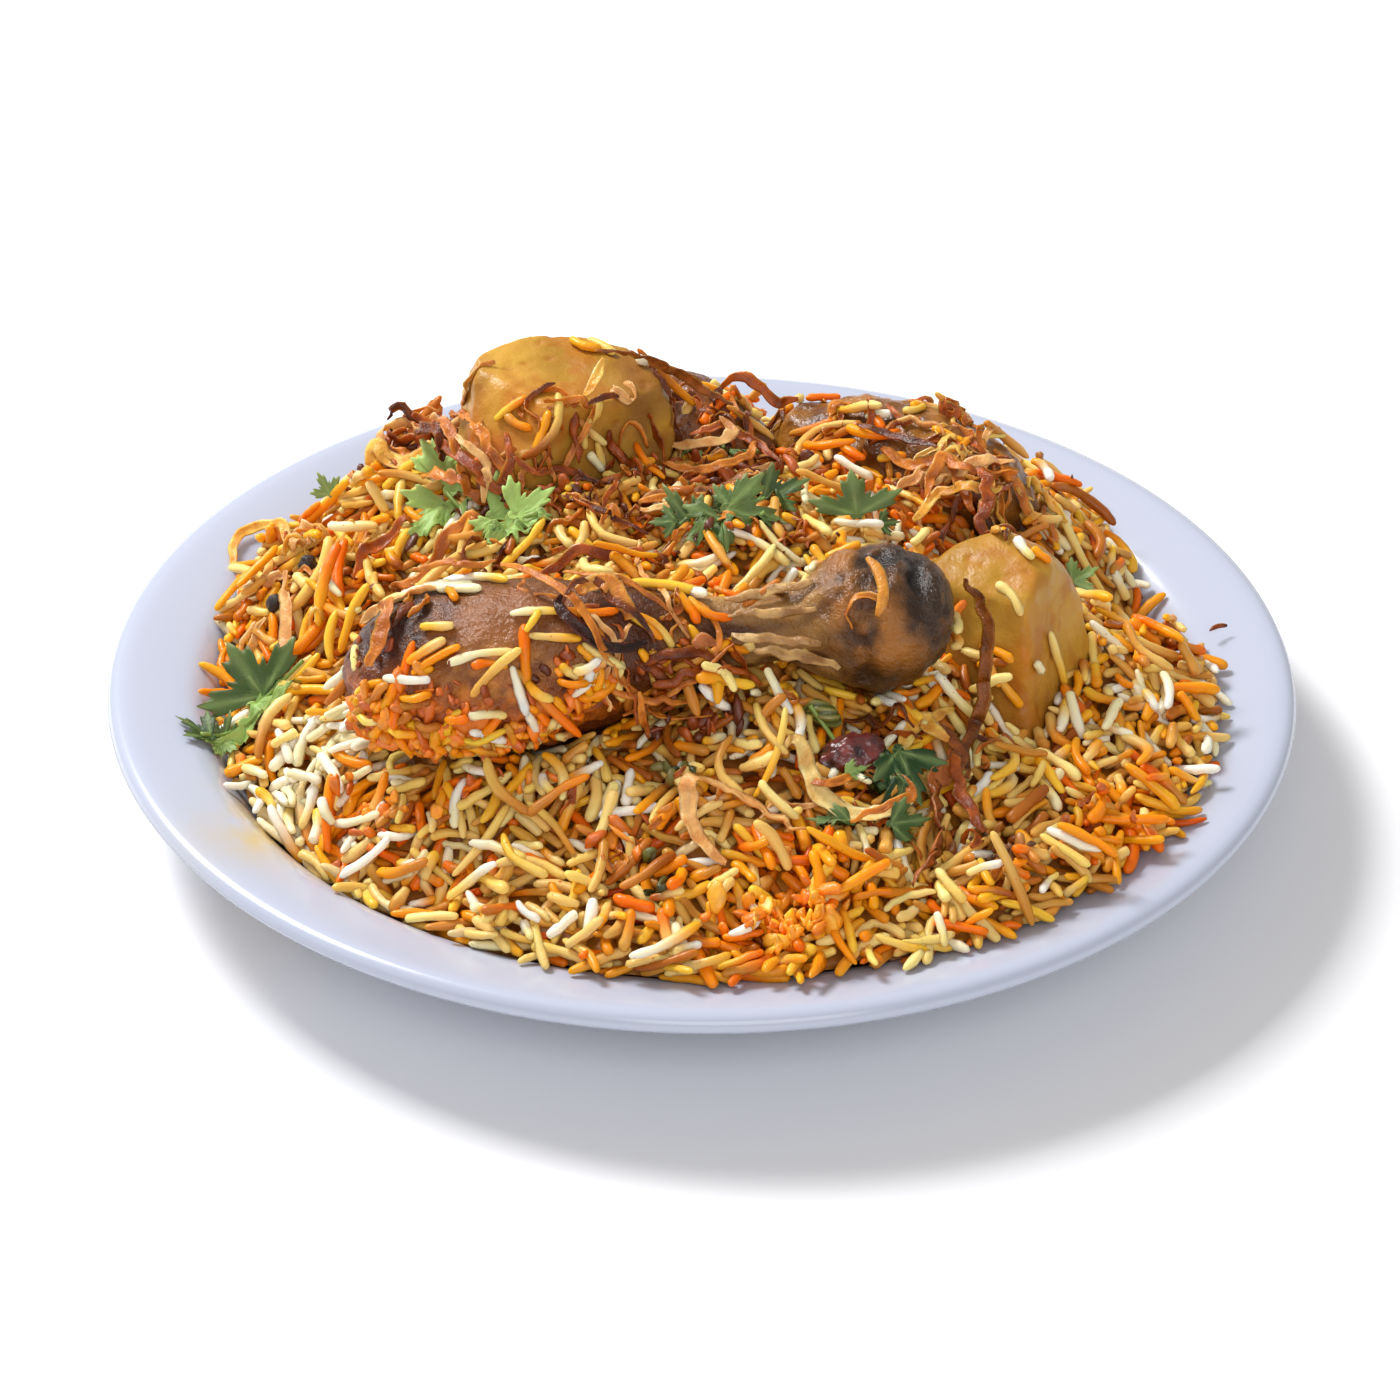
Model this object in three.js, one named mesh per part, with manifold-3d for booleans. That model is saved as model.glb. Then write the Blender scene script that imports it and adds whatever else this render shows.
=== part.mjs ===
// Chicken biryani on a round plate: a mound of long-grain rice with a chicken drumstick, a second
// leg and a thigh piece bedded in it, two potato pieces, a dried plum, a cardamom pod, peppercorns,
// two clumps and single strips of fried onion lying on top. Millimetres, +Z up, origin under the
// middle of the plate.
import * as THREE from "three";
import { mergeVertices } from "three/addons/utils/BufferGeometryUtils.js";
import Module from "manifold-3d";

const wasm = await Module();
wasm.setup();

// Driving dimensions
const GAP = 0.3; // clearance between pieces that touch
const SEGMENTS = 32; // around the plate and the rice
const CURVE_STEPS = 3; // along each curve of the plate's section

const PLATE_RADIUS = 130;
const LIP_Z = 28; // top of the plate's lip
const LIP_THICKNESS = 4.2;
const RIM_INNER_RADIUS = 111; // where the rim bends down into the well
const RIM_FALL = 3.6; // how far the rim slopes down from lip to well
const WELL_RADIUS = 82; // flat floor of the well
const WELL_Z = 6; // top of that floor
const FOOT_RADIUS = 72; // outer radius of the foot ring
const FOOT_WIDTH = 5;
const FOOT_HEIGHT = 2;
const FLOOR_THICKNESS = 3;

const RICE_TOP_Z = LIP_Z + 31; // crown of the mound
const RICE_EDGE_RISE = 3.2; // thickness of the rice at its outline
const RICE_CURVE_FRONT = 1.6; // 1 is a cone, more is flatter on top
const RICE_CURVE_BACK = 2.7;
const RICE_EDGE_RADIUS = 109;

const STRIP_THICKNESS = 0.9; // fried onion
const STRIP_RINGS = 11;
const STRIP_COLUMNS = 4;

// Material colours, roughness
const WHITE_MELAMINE = new THREE.MeshStandardMaterial({ color: 0xe6e8f4, roughness: 0.3 });
const RICE = new THREE.MeshStandardMaterial({ color: 0xd9a44e, roughness: 0.5 });
const CHICKEN = new THREE.MeshStandardMaterial({ color: 0x8a5632, roughness: 0.35 });
const POTATO = new THREE.MeshStandardMaterial({ color: 0xc59a45, roughness: 0.4 });
const ONION = new THREE.MeshStandardMaterial({ color: 0x7a3d1c, roughness: 0.35 });
const PLUM = new THREE.MeshStandardMaterial({ color: 0x5a2a2c, roughness: 0.45 });
const SPICE = new THREE.MeshStandardMaterial({ color: 0x5d6a2c, roughness: 0.6 });
const PEPPER = new THREE.MeshStandardMaterial({ color: 0x2a1c14, roughness: 0.7 });

// ---------------------------------------------------------------- geometry helpers

// A closed surface of rings between two poles. point(v, turn) gives the point of ring v (0 to 1)
// at angle turn (radians); at v = 0 and v = 1 it gives the pole, whatever the angle.
function closedRings(rings, columns, point) {
  const positions = [];
  const indices = [];
  const add = (p) => positions.push(p.x, p.y, p.z);
  add(point(0, 0));
  for (let ring = 1; ring < rings; ring++)
    for (let column = 0; column < columns; column++)
      add(point(ring / rings, (column / columns) * 2 * Math.PI));
  add(point(1, 0));

  const at = (ring, column) => 1 + (ring - 1) * columns + (column % columns);
  const last = 1 + (rings - 1) * columns;
  for (let column = 0; column < columns; column++) {
    indices.push(0, at(1, column), at(1, column + 1));
    for (let ring = 1; ring < rings - 1; ring++) {
      const [a, b] = [at(ring, column), at(ring, column + 1)];
      const [c, d] = [at(ring + 1, column), at(ring + 1, column + 1)];
      indices.push(a, c, b, b, c, d);
    }
    indices.push(last, at(rings - 1, column + 1), at(rings - 1, column));
  }
  if (signedVolume(positions, indices) < 0) indices.reverse();
  const geometry = new THREE.BufferGeometry();
  geometry.setAttribute("position", new THREE.Float32BufferAttribute(positions, 3));
  geometry.setIndex(indices);
  return geometry;
}

// Negative when the triangles face inwards.
function signedVolume(positions, indices) {
  const corner = (index) => new THREE.Vector3().fromArray(positions, 3 * index);
  let volume = 0;
  for (let i = 0; i < indices.length; i += 3) {
    const [a, b, c] = [corner(indices[i]), corner(indices[i + 1]), corner(indices[i + 2])];
    volume += a.dot(b.cross(c)) / 6;
  }
  return volume;
}

function solidOf(geometry, matrix = new THREE.Matrix4()) {
  const bare = geometry.clone().applyMatrix4(matrix);
  bare.deleteAttribute("normal");
  bare.deleteAttribute("uv");
  const merged = mergeVertices(bare, 1e-4);
  const solid = new wasm.Manifold(
    new wasm.Mesh({
      numProp: 3,
      vertProperties: new Float32Array(merged.attributes.position.array),
      triVerts: new Uint32Array(merged.index.array),
    }),
  );
  return solid;
}

function geometryOf(solid) {
  const mesh = solid.getMesh();
  const geometry = new THREE.BufferGeometry();
  geometry.setAttribute("position", new THREE.Float32BufferAttribute(mesh.vertProperties, 3));
  geometry.setIndex(Array.from(mesh.triVerts));
  geometry.computeVertexNormals();
  return geometry;
}

// The largest body of a solid, for a cut that leaves crumbs.
function mainBody(solid) {
  return solid.decompose().reduce((a, b) => (b.volume() > a.volume() ? b : a));
}

const splineThrough = (pairs) => new THREE.SplineCurve(pairs.map(([x, y]) => new THREE.Vector2(x, y)));

// ---------------------------------------------------------------- plate

// The eating surface, from the middle of the well out to the top of the lip.
function plateTopPath() {
  const rimZ = LIP_Z - RIM_FALL;
  const path = new THREE.Path();
  path.moveTo(0, WELL_Z);
  path.lineTo(WELL_RADIUS, WELL_Z);
  path.quadraticCurveTo(WELL_RADIUS + 17, WELL_Z + 1, RIM_INNER_RADIUS - 6, WELL_Z + 10);
  path.quadraticCurveTo(RIM_INNER_RADIUS - 2.5, rimZ - 2, RIM_INNER_RADIUS + 1.5, rimZ);
  path.quadraticCurveTo(PLATE_RADIUS - 8, LIP_Z - 0.6, PLATE_RADIUS - 3.5, LIP_Z);
  return path;
}

// The whole section: along the eating surface, round the lip and back under the plate.
function plateSection() {
  const lipMiddle = LIP_Z - LIP_THICKNESS / 2;
  const under = LIP_Z - LIP_THICKNESS;
  const path = plateTopPath();
  path.quadraticCurveTo(PLATE_RADIUS, LIP_Z, PLATE_RADIUS, lipMiddle);
  path.quadraticCurveTo(PLATE_RADIUS, under, PLATE_RADIUS - 3, under);
  path.lineTo(RIM_INNER_RADIUS + 3, under - RIM_FALL);
  path.quadraticCurveTo(RIM_INNER_RADIUS - 1, under - RIM_FALL - 1, RIM_INNER_RADIUS - 3, WELL_Z + 7);
  path.quadraticCurveTo(WELL_RADIUS + 17, FOOT_HEIGHT + 1, FOOT_RADIUS + 2, FOOT_HEIGHT);
  path.quadraticCurveTo(FOOT_RADIUS, FOOT_HEIGHT, FOOT_RADIUS, 0);
  path.lineTo(FOOT_RADIUS - FOOT_WIDTH, 0);
  path.lineTo(FOOT_RADIUS - FOOT_WIDTH - 1, WELL_Z - FLOOR_THICKNESS);
  path.lineTo(0, WELL_Z - FLOOR_THICKNESS);
  return path;
}

function plateGeometry() {
  const points = plateSection().getPoints(CURVE_STEPS);
  return new THREE.LatheGeometry(points.reverse(), SEGMENTS);
}

// Height of the eating surface at a distance from the middle.
const plateTopPoints = plateTopPath().getPoints(CURVE_STEPS);
function plateTopZ(radius) {
  const after = plateTopPoints.findIndex((p) => p.x >= radius);
  if (after <= 0) return after === 0 ? WELL_Z : LIP_Z;
  const [a, b] = [plateTopPoints[after - 1], plateTopPoints[after]];
  return THREE.MathUtils.mapLinear(radius, a.x, b.x, a.y, b.y);
}

// ---------------------------------------------------------------- rice

// Where the outline is drawn in, or reaches out, by how much and over what angle in radians.
const RICE_BAYS = [
  { at: 0.2, reach: 0.15, out: -13 },
  { at: 0.68, reach: 0.2, out: 2.5 },
];

// The outline is uneven: it reaches onto the rim at the front right and stays short at the left.
function riceEdgeRadius(turn) {
  const bays = RICE_BAYS.map(({ at, reach, out }) => out * Math.exp(-(((turn - at) / reach) ** 2)));
  return (
    RICE_EDGE_RADIUS +
    bays.reduce((total, bay) => total + bay) +
    4 * Math.cos(turn + 0.75) +
    2.2 * Math.cos(2 * turn + 1.6) +
    1.4 * Math.sin(3 * turn) +
    0.9 * Math.sin(7 * turn + 1) +
    0.6 * Math.sin(11 * turn)
  );
}

// Where the mound stands higher or lies lower than its even shape, by how much and over what radius.
const RICE_SWELLS = [
  { at: [-66, 54], rise: 12, reach: 20 },
  { at: [-82, 36], rise: 5, reach: 15 },
  { at: [-70, -57], rise: 5, reach: 16 },
  { at: [-30, 5], rise: 5, reach: 14 },
  { at: [84, 48], rise: 9, reach: 17 },
  { at: [62, -50], rise: -6, reach: 14 },
  { at: [80, -42], rise: -7, reach: 15 },
];

// Low lumps over the mound, none at its outline.
function riceLumps(x, y) {
  const swells = RICE_SWELLS.map(({ at, rise, reach }) => {
    const distance = Math.hypot(x - at[0], y - at[1]) / reach;
    return rise * Math.exp(-distance * distance);
  });
  return (
    1.3 * Math.sin(x / 15 + 0.6) * Math.cos(y / 13) +
    0.9 * Math.sin(x / 8.5 - y / 11) +
    0.6 * Math.cos(y / 6.5 + x / 19) +
    swells.reduce((total, swell) => total + swell)
  );
}

function riceTopPoint(share, turn) {
  const edge = riceEdgeRadius(turn);
  const edgeZ = plateTopZ(edge) + RICE_EDGE_RISE;
  const radius = share * edge;
  const [x, y] = [radius * Math.cos(turn), radius * Math.sin(turn)];
  const curve = THREE.MathUtils.lerp(RICE_CURVE_FRONT, RICE_CURVE_BACK, (1 + Math.sin(turn)) / 2);
  const height = 1 - share ** curve;
  const lumps = riceLumps(x, y) * Math.min(1, 4 * (1 - share));
  return new THREE.Vector3(x, y, edgeZ + (RICE_TOP_Z - edgeZ) * height + lumps);
}

// The mound down to the table, before the plate and the pieces bedded in it are taken away.
function riceGeometry() {
  const topRings = 13;
  return closedRings(topRings + 2, SEGMENTS, (v, turn) => {
    const ring = Math.round(v * (topRings + 2));
    const point = riceTopPoint(Math.min(1, ring / topRings), turn);
    if (ring <= topRings) return point;
    return ring === topRings + 1 ? point.setZ(0) : new THREE.Vector3();
  });
}

// What the rice rests on: all that lies below the eating surface, with its clearance.
function bedGeometry() {
  const top = plateTopPath().getPoints(CURVE_STEPS);
  const raised = top.map((p) => new THREE.Vector2(Math.max(0, p.x - GAP), p.y + GAP));
  const outer = [
    new THREE.Vector2(PLATE_RADIUS, LIP_Z + GAP),
    new THREE.Vector2(PLATE_RADIUS, -1),
    new THREE.Vector2(0, -1),
  ];
  return new THREE.LatheGeometry([...raised, ...outer].reverse(), SEGMENTS);
}

// ---------------------------------------------------------------- chicken and potato

// A limb along +X whose girth follows [station, radius] pairs, with lumps of muscle and skin.
// grow makes it larger all round, to cut its bed.
function limbGeometry({ girth, tall = 1, lump = 0.06, bend = 0, rings = 22, columns = 18 }, grow = 0) {
  const curve = splineThrough(girth);
  const length = girth.at(-1)[0];
  return closedRings(rings, columns, (v, turn) => {
    const { x, y: radius } = curve.getPoint(v);
    const lumpy = 1 + lump * Math.sin(2 * turn + x / 17) + 0.6 * lump * Math.sin(3 * turn - x / 9);
    const end = v === 0 ? -grow : v === 1 ? grow : 0;
    const around = v === 0 || v === 1 ? 0 : Math.max(radius, 0.5) * lumpy + grow;
    const sag = bend * Math.sin((Math.PI * x) / length);
    return new THREE.Vector3(x + end, around * Math.cos(turn), around * tall * Math.sin(turn) - sag);
  });
}

// A rounded chunk with flat sides where it was cut: an uneven ellipsoid less a box beyond each cut.
function chunkGeometry({ radii, cuts = [], lump = 0.03, rings = 14, columns = 20 }, grow = 0) {
  const body = solidOf(
    closedRings(rings, columns, (v, turn) => {
      const polar = v * Math.PI;
      const direction = new THREE.Vector3().setFromSphericalCoords(1, polar, turn);
      const { x, y, z } = direction;
      const lumpy = 1 + lump * (Math.sin(3 * x + 2 * y) + Math.cos(4 * z - 2 * x));
      return new THREE.Vector3(
        x * (radii[0] * lumpy + grow),
        z * (radii[1] * lumpy + grow),
        y * (radii[2] * lumpy + grow),
      );
    }),
  );
  const reach = 2 * Math.max(...radii);
  const cutAway = cuts.reduce((rest, { facing, at }) => {
    const normal = new THREE.Vector3(...facing).normalize();
    const turned = new THREE.Quaternion().setFromUnitVectors(new THREE.Vector3(0, 0, 1), normal);
    const middle = normal.multiplyScalar(at + grow + reach);
    const place = new THREE.Matrix4().compose(middle, turned, new THREE.Vector3(1, 1, 1));
    const box = new THREE.BoxGeometry(2 * reach, 2 * reach, 2 * reach);
    return rest.subtract(solidOf(box, place));
  }, body);
  return geometryOf(cutAway);
}

const DRUMSTICK = {
  girth: [
    [0, 0], [3, 9], [10, 14.5], [22, 17.8], [38, 18.5], [52, 16.3], [64, 12.2], [75, 8.4],
    [86, 7], [92, 7.8], [98, 11.4], [106, 14.2], [115, 14], [123, 9.4], [126, 0],
  ],
  rings: 24,
  columns: 16,
};

const BACK_LEG = {
  girth: [
    [0, 0], [3, 6], [9, 9], [18, 11.5], [30, 15], [42, 16.5], [53, 15.5], [62, 10.5], [67, 0],
  ],
  bend: -3,
  rings: 16,
};

const THIGH = {
  girth: [[0, 0], [2, 6], [8, 11], [17, 13.5], [26, 13], [34, 10], [40, 6], [43, 0]],
  lump: 0.1,
  tall: 0.95,
  rings: 12,
  columns: 16,
};

const LEFT_POTATO = {
  radii: [26, 22, 23],
  cuts: [
    { facing: [0.5, -0.84, 0.2], at: 13.5 },
    { facing: [-0.34, -0.62, 0.7], at: 15 },
    { facing: [-0.97, -0.1, 0.22], at: 20 },
    { facing: [0.1, -0.1, 1], at: 11.5 },
    { facing: [0, 0, -1], at: 17 },
  ],
  rings: 12,
  columns: 18,
};

const RIGHT_POTATO = {
  radii: [23, 23, 28],
  cuts: [
    { facing: [-0.42, -0.88, 0.24], at: 14 },
    { facing: [0.86, -0.5, 0.2], at: 15.5 },
    { facing: [-0.2, -0.3, 1], at: 24 },
    { facing: [0, -0.2, -1], at: 22 },
  ],
  rings: 12,
  columns: 18,
};

const LEFT_CLUMP = { radii: [13, 9, 6.5], lump: 0.12, rings: 8, columns: 12 };
const RIGHT_CLUMP = { radii: [11, 8, 5], lump: 0.12, rings: 8, columns: 12 };
const PLUM_SHAPE = { radii: [8, 5.5, 4.5], lump: 0.1, rings: 8, columns: 12 };
const POD_SHAPE = { radii: [5.5, 2.6, 2.6], lump: 0.08, rings: 7, columns: 9 };
const PEPPERCORN_SHAPE = { radii: [2.4, 2.4, 2.3], lump: 0.06, rings: 6, columns: 8 };

// position is in the plate's frame; turned holds rotations about X, Y and Z in degrees.
const PIECES = [
  {
    name: "drumstick",
    material: CHICKEN,
    shape: (grow) => limbGeometry(DRUMSTICK, grow),
    position: [-73, -52, LIP_Z + 25],
    turned: [0, -6.2, 5],
  },
  {
    name: "back_leg",
    material: CHICKEN,
    shape: (grow) => limbGeometry(BACK_LEG, grow),
    position: [15, 60, LIP_Z + 23],
    turned: [0, 7, -26],
  },
  {
    name: "thigh",
    material: CHICKEN,
    shape: (grow) => limbGeometry(THIGH, grow),
    position: [-24, 62, LIP_Z + 26],
    turned: [0, 4, -22],
  },
  {
    name: "potato_left",
    material: POTATO,
    shape: (grow) => chunkGeometry(LEFT_POTATO, grow),
    position: [-32.5, 33, LIP_Z + 39],
    turned: [0, 0, 0],
  },
  {
    name: "potato_right",
    material: POTATO,
    shape: (grow) => chunkGeometry(RIGHT_POTATO, grow),
    position: [61.5, -21, LIP_Z + 12],
    turned: [0, 0, 0],
  },
  {
    name: "onion_clump_left",
    material: ONION,
    shape: (grow) => chunkGeometry(LEFT_CLUMP, grow),
    position: [-62, 50, LIP_Z + 27],
    turned: [0, -12, 0],
  },
  {
    name: "onion_clump_right",
    material: ONION,
    shape: (grow) => chunkGeometry(RIGHT_CLUMP, grow),
    position: [58, 28, LIP_Z + 31],
    turned: [0, 24, -30],
  },
  {
    name: "dried_plum",
    material: PLUM,
    shape: (grow) => chunkGeometry(PLUM_SHAPE, grow),
    position: [30, -66, LIP_Z + 18],
    turned: [0, 0, 12],
  },
  {
    name: "cardamom_pod",
    material: SPICE,
    shape: (grow) => chunkGeometry(POD_SHAPE, grow),
    position: [24, -56, LIP_Z + 22],
    turned: [0, 10, -30],
  },
  {
    name: "peppercorn_1",
    material: PEPPER,
    shape: (grow) => chunkGeometry(PEPPERCORN_SHAPE, grow),
    position: [-88, 18, LIP_Z + 11],
    turned: [0, 0, 0],
  },
  {
    name: "peppercorn_2",
    material: PEPPER,
    shape: (grow) => chunkGeometry(PEPPERCORN_SHAPE, grow),
    position: [-95, 11, LIP_Z + 5],
    turned: [0, 0, 50],
  },
];

function placementOf({ position, turned }) {
  const angles = turned.map(THREE.MathUtils.degToRad);
  return { position: new THREE.Vector3(...position), rotation: new THREE.Euler(...angles, "ZYX") };
}

function matrixOf(piece) {
  const { position, rotation } = placementOf(piece);
  const turned = new THREE.Quaternion().setFromEuler(rotation);
  return new THREE.Matrix4().compose(position, turned, new THREE.Vector3(1, 1, 1));
}

// A piece less the neighbours that are set before it, each with its clearance, in the piece's frame.
function cutPiece(piece, neighbours) {
  const toPiece = matrixOf(piece).invert();
  const whole = solidOf(piece.shape(0));
  const rest = neighbours.reduce(
    (left, other) => left.subtract(solidOf(other.shape(GAP), toPiece.clone().multiply(matrixOf(other)))),
    whole,
  );
  return geometryOf(mainBody(rest));
}

function meshOf(piece, geometry) {
  const mesh = new THREE.Mesh(geometry, piece.material);
  const { position, rotation } = placementOf(piece);
  mesh.name = piece.name;
  mesh.position.copy(position);
  mesh.rotation.copy(rotation);
  return mesh;
}

// ---------------------------------------------------------------- fried onion

// A flat strip along a curve, tapered at both ends, its width going from the first to the second
// of widths. Its flat side looks along facing.
function stripGeometry({ path, widths, facing = [0, 0, 1] }, grow = 0) {
  const curve = new THREE.CatmullRomCurve3(path);
  const outwards = new THREE.Vector3(...facing);
  return closedRings(STRIP_RINGS, STRIP_COLUMNS, (v, turn) => {
    const middle = curve.getPointAt(v);
    const along = curve.getTangentAt(v);
    if (v === 0 || v === 1) return middle.addScaledVector(along, v === 0 ? -grow : grow);
    const side = along.clone().cross(outwards).normalize();
    const out = side.clone().cross(along);
    const taper = Math.sin(Math.PI * v) ** 0.4;
    const width = THREE.MathUtils.lerp(widths[0], widths[1], v) * taper;
    middle.addScaledVector(side, (width / 2 + grow) * Math.cos(turn));
    return middle.addScaledVector(out, (STRIP_THICKNESS / 2 + grow) * Math.sin(turn));
  });
}

// Points of two numbers lie on the food, lift above it; points of three hang free in the air.
const STRIPS = [
  {
    name: "onion_loop",
    points: [[5, -93], [0, -90], [-3, -84], [-1, -79], [5, -79], [11, -82], [17, -85], [24, -88]],
    widths: [2.5, 5.6],
    lift: 1.5,
  },
  {
    name: "onion_gold",
    points: [[16, -68], [20, -69], [22, -74], [26, -79], [32, -80], [38, -78], [43, -74]],
    widths: [3, 3.8],
    lift: 2.4,
  },
  {
    name: "onion_red",
    points: [[46, -58], [51, -58], [53, -61], [50, -65], [46, -69], [48, -78], [46, -87], [42, -94]],
    widths: [4.5, 5],
    lift: 1.7,
  },
  {
    name: "onion_dark",
    points: [[29, -57], [33, -58], [38, -59], [43, -60]],
    widths: [2.5, 2.5],
    lift: 1.5,
  },
  {
    name: "onion_end",
    points: [[-66, -44], [-64, -50], [-65, -56], [-67, -60]],
    widths: [3.8, 4.2],
    lift: 1.3,
  },
  {
    name: "onion_curl",
    points: [[-27, -51], [-29, -57], [-25, -61], [-20, -61.5], [-15, -60.5], [-11, -58]],
    widths: [3.8, 4],
    lift: 1.3,
  },
  {
    name: "onion_across",
    points: [
      [-41, -43], [-34, -50, 78.5], [-26, -57, 77], [-21, -63.2, 71.5], [-16, -63.8, 62.5],
      [-12.5, -63, 57], [-9, -62, 52.8], [-4, -61, 51], [2, -60, 51.5],
    ],
    widths: [2.2, 2.8],
    lift: 3.6,
  },
  {
    name: "onion_band",
    points: [[-35, -13], [-30, -10], [-24, -9], [-18, -9], [-13, -10]],
    widths: [3, 3.2],
    lift: 1.8,
  },
  {
    name: "onion_hanging",
    points: [
      [53, -43, 74], [57.5, -46, 68], [58, -49, 60], [58, -50, 52],
      [57, -52, 46.5], [54, -58], [54, -66],
    ],
    widths: [3.8, 4.2],
    lift: 2,
    facing: [0.2, -1, 0.4],
  },
  {
    name: "onion_twist",
    points: [[47, 6], [52, 13], [59, 19], [65, 21], [71, 25]],
    widths: [4.2, 4.8],
    lift: 2.2,
  },
  {
    name: "onion_arch",
    points: [[-24, 31, 86], [-14, 36, 82.5], [-7, 40, 76.5], [0, 44, 69.5], [6, 45, 65]],
    widths: [3.2, 3.5],
    lift: 0,
  },
  {
    name: "onion_strip",
    points: [[-14, 9], [-6, 13], [1, 15], [8, 19], [14, 23], [18, 30], [17, 38]],
    widths: [3.5, 3],
    lift: 1.8,
  },
  {
    name: "onion_tan",
    points: [[-76, 44], [-70, 39], [-63, 37], [-56, 38]],
    widths: [5.5, 6],
    lift: 1.8,
  },
  {
    name: "onion_left",
    points: [[-46, 5], [-50, 7], [-55, 6], [-59, 1], [-63, -2], [-68, 0]],
    widths: [2.8, 3],
    lift: 1.7,
  },
  {
    name: "onion_far_left",
    points: [[-64, 15], [-68, 13], [-72, 10], [-76, 6], [-76, 1]],
    widths: [2.8, 2.8],
    lift: 1.7,
  },
  {
    name: "onion_rim_loop",
    points: [[-107, 36], [-108, 45], [-105, 53], [-99, 54], [-96, 47], [-95, 39]],
    widths: [2.5, 2.5],
    lift: 1.5,
  },
  {
    name: "onion_side",
    points: [[-92, 14], [-92, 8], [-92, 1], [-93, -7], [-93, -14]],
    widths: [3.5, 4.2],
    lift: 1.5,
  },
  {
    name: "onion_back_curl",
    points: [[4, 52, 65.5], [6, 51, 68.5], [10, 51, 69], [13, 50, 66.5], [16, 48, 64.5], [21, 47, 66]],
    widths: [2.1, 2.1],
    lift: 0,
    facing: [0, -1, 0.5],
  },
];

const skyward = new THREE.Raycaster();
const DOWN = new THREE.Vector3(0, 0, -1);

// Each point of a strip in space, dropped onto the food where it has no height of its own.
function pathOf({ points, lift }, food) {
  return points.map(([x, y, z]) => {
    if (z !== undefined) return new THREE.Vector3(x, y, z);
    skyward.set(new THREE.Vector3(x, y, 2 * PLATE_RADIUS), DOWN);
    return skyward.intersectObjects(food)[0].point.add(new THREE.Vector3(0, 0, lift));
  });
}

// ---------------------------------------------------------------- the dish

const dish = new THREE.Group();

const plate = new THREE.Mesh(plateGeometry(), WHITE_MELAMINE);
plate.name = "plate";
plate.rotation.x = Math.PI / 2;
dish.add(plate);

const pieceMeshes = PIECES.map((piece, index) => meshOf(piece, cutPiece(piece, PIECES.slice(0, index))));
dish.add(...pieceMeshes);

const upright = new THREE.Matrix4().makeRotationX(Math.PI / 2);
const mound = solidOf(riceGeometry()).subtract(solidOf(bedGeometry(), upright));
const riceSolid = PIECES.reduce(
  (left, piece) => left.subtract(solidOf(piece.shape(GAP), matrixOf(piece))),
  mound,
);
const rice = new THREE.Mesh(geometryOf(mainBody(riceSolid)), RICE);
rice.name = "rice";
dish.add(rice);

// The strips, each cut clear of the food and of the strips before it.
dish.updateMatrixWorld(true);
const food = [...dish.children];
const clearances = PIECES.map((piece) => solidOf(piece.shape(GAP), matrixOf(piece)));
clearances.push(mound.translate([0, 0, GAP]));
for (const strip of STRIPS) {
  const path = pathOf(strip, food);
  const whole = solidOf(stripGeometry({ ...strip, path }));
  const free = clearances.reduce((left, other) => left.subtract(other), whole);
  const mesh = new THREE.Mesh(geometryOf(mainBody(free)), ONION);
  mesh.name = strip.name;
  dish.add(mesh);
  clearances.push(solidOf(stripGeometry({ ...strip, path }, GAP)));
}

export default dish;
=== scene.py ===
"""A plate of chicken biryani: looks built over the CAD model. Sizes in the helpers are in millimetres."""
import itertools
import math

import bmesh
import bpy
import numpy as np
from mathutils import Euler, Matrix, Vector
from mathutils.bvhtree import BVHTree


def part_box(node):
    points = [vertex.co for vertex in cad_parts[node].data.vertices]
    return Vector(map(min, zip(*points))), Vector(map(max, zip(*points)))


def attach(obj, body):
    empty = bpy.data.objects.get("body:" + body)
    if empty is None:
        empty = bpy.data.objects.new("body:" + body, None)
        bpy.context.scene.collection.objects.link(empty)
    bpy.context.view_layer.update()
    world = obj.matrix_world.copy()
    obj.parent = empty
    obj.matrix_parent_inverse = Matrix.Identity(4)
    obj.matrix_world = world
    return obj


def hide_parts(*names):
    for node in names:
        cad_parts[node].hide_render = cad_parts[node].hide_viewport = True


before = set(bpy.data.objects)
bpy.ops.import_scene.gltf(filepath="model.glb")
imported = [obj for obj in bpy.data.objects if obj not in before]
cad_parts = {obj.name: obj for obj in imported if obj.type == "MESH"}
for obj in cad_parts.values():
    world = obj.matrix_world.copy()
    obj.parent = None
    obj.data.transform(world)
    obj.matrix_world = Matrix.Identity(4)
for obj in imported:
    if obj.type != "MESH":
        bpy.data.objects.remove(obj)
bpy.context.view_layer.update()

MM = 0.001
CELL = 0.5  # of the height maps
HALF = 140.0  # half the width of the height maps
SIDE = int(2 * HALF / CELL) + 1
NOWHERE = -50.0  # in a height map, where there is nothing

GRAIN_COLUMNS = 6
BURIED_COLUMNS = 5

FILL_ROUNDS = 75
GRAINS_A_ROUND = 400  # tried; fewer find a place
TOP_GRAINS = 260  # lying loose on the heap
FOOT_GRAINS = 1000  # on the plate at the foot of the heap, before the heap is filled
LATE_FOOT_GRAINS = 700  # and after
SEEN_UNDER = 1.7  # with less cover than this a grain shows
MADE_UNDER = 3.6  # and with less than this it is made at all, in a coarse form
CORE_DEPTH = 4.8  # from the heap's outline down to the core under the grains

rng = np.random.default_rng(21)


# ---------------------------------------------------------------- noise, curves and frames

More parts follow.
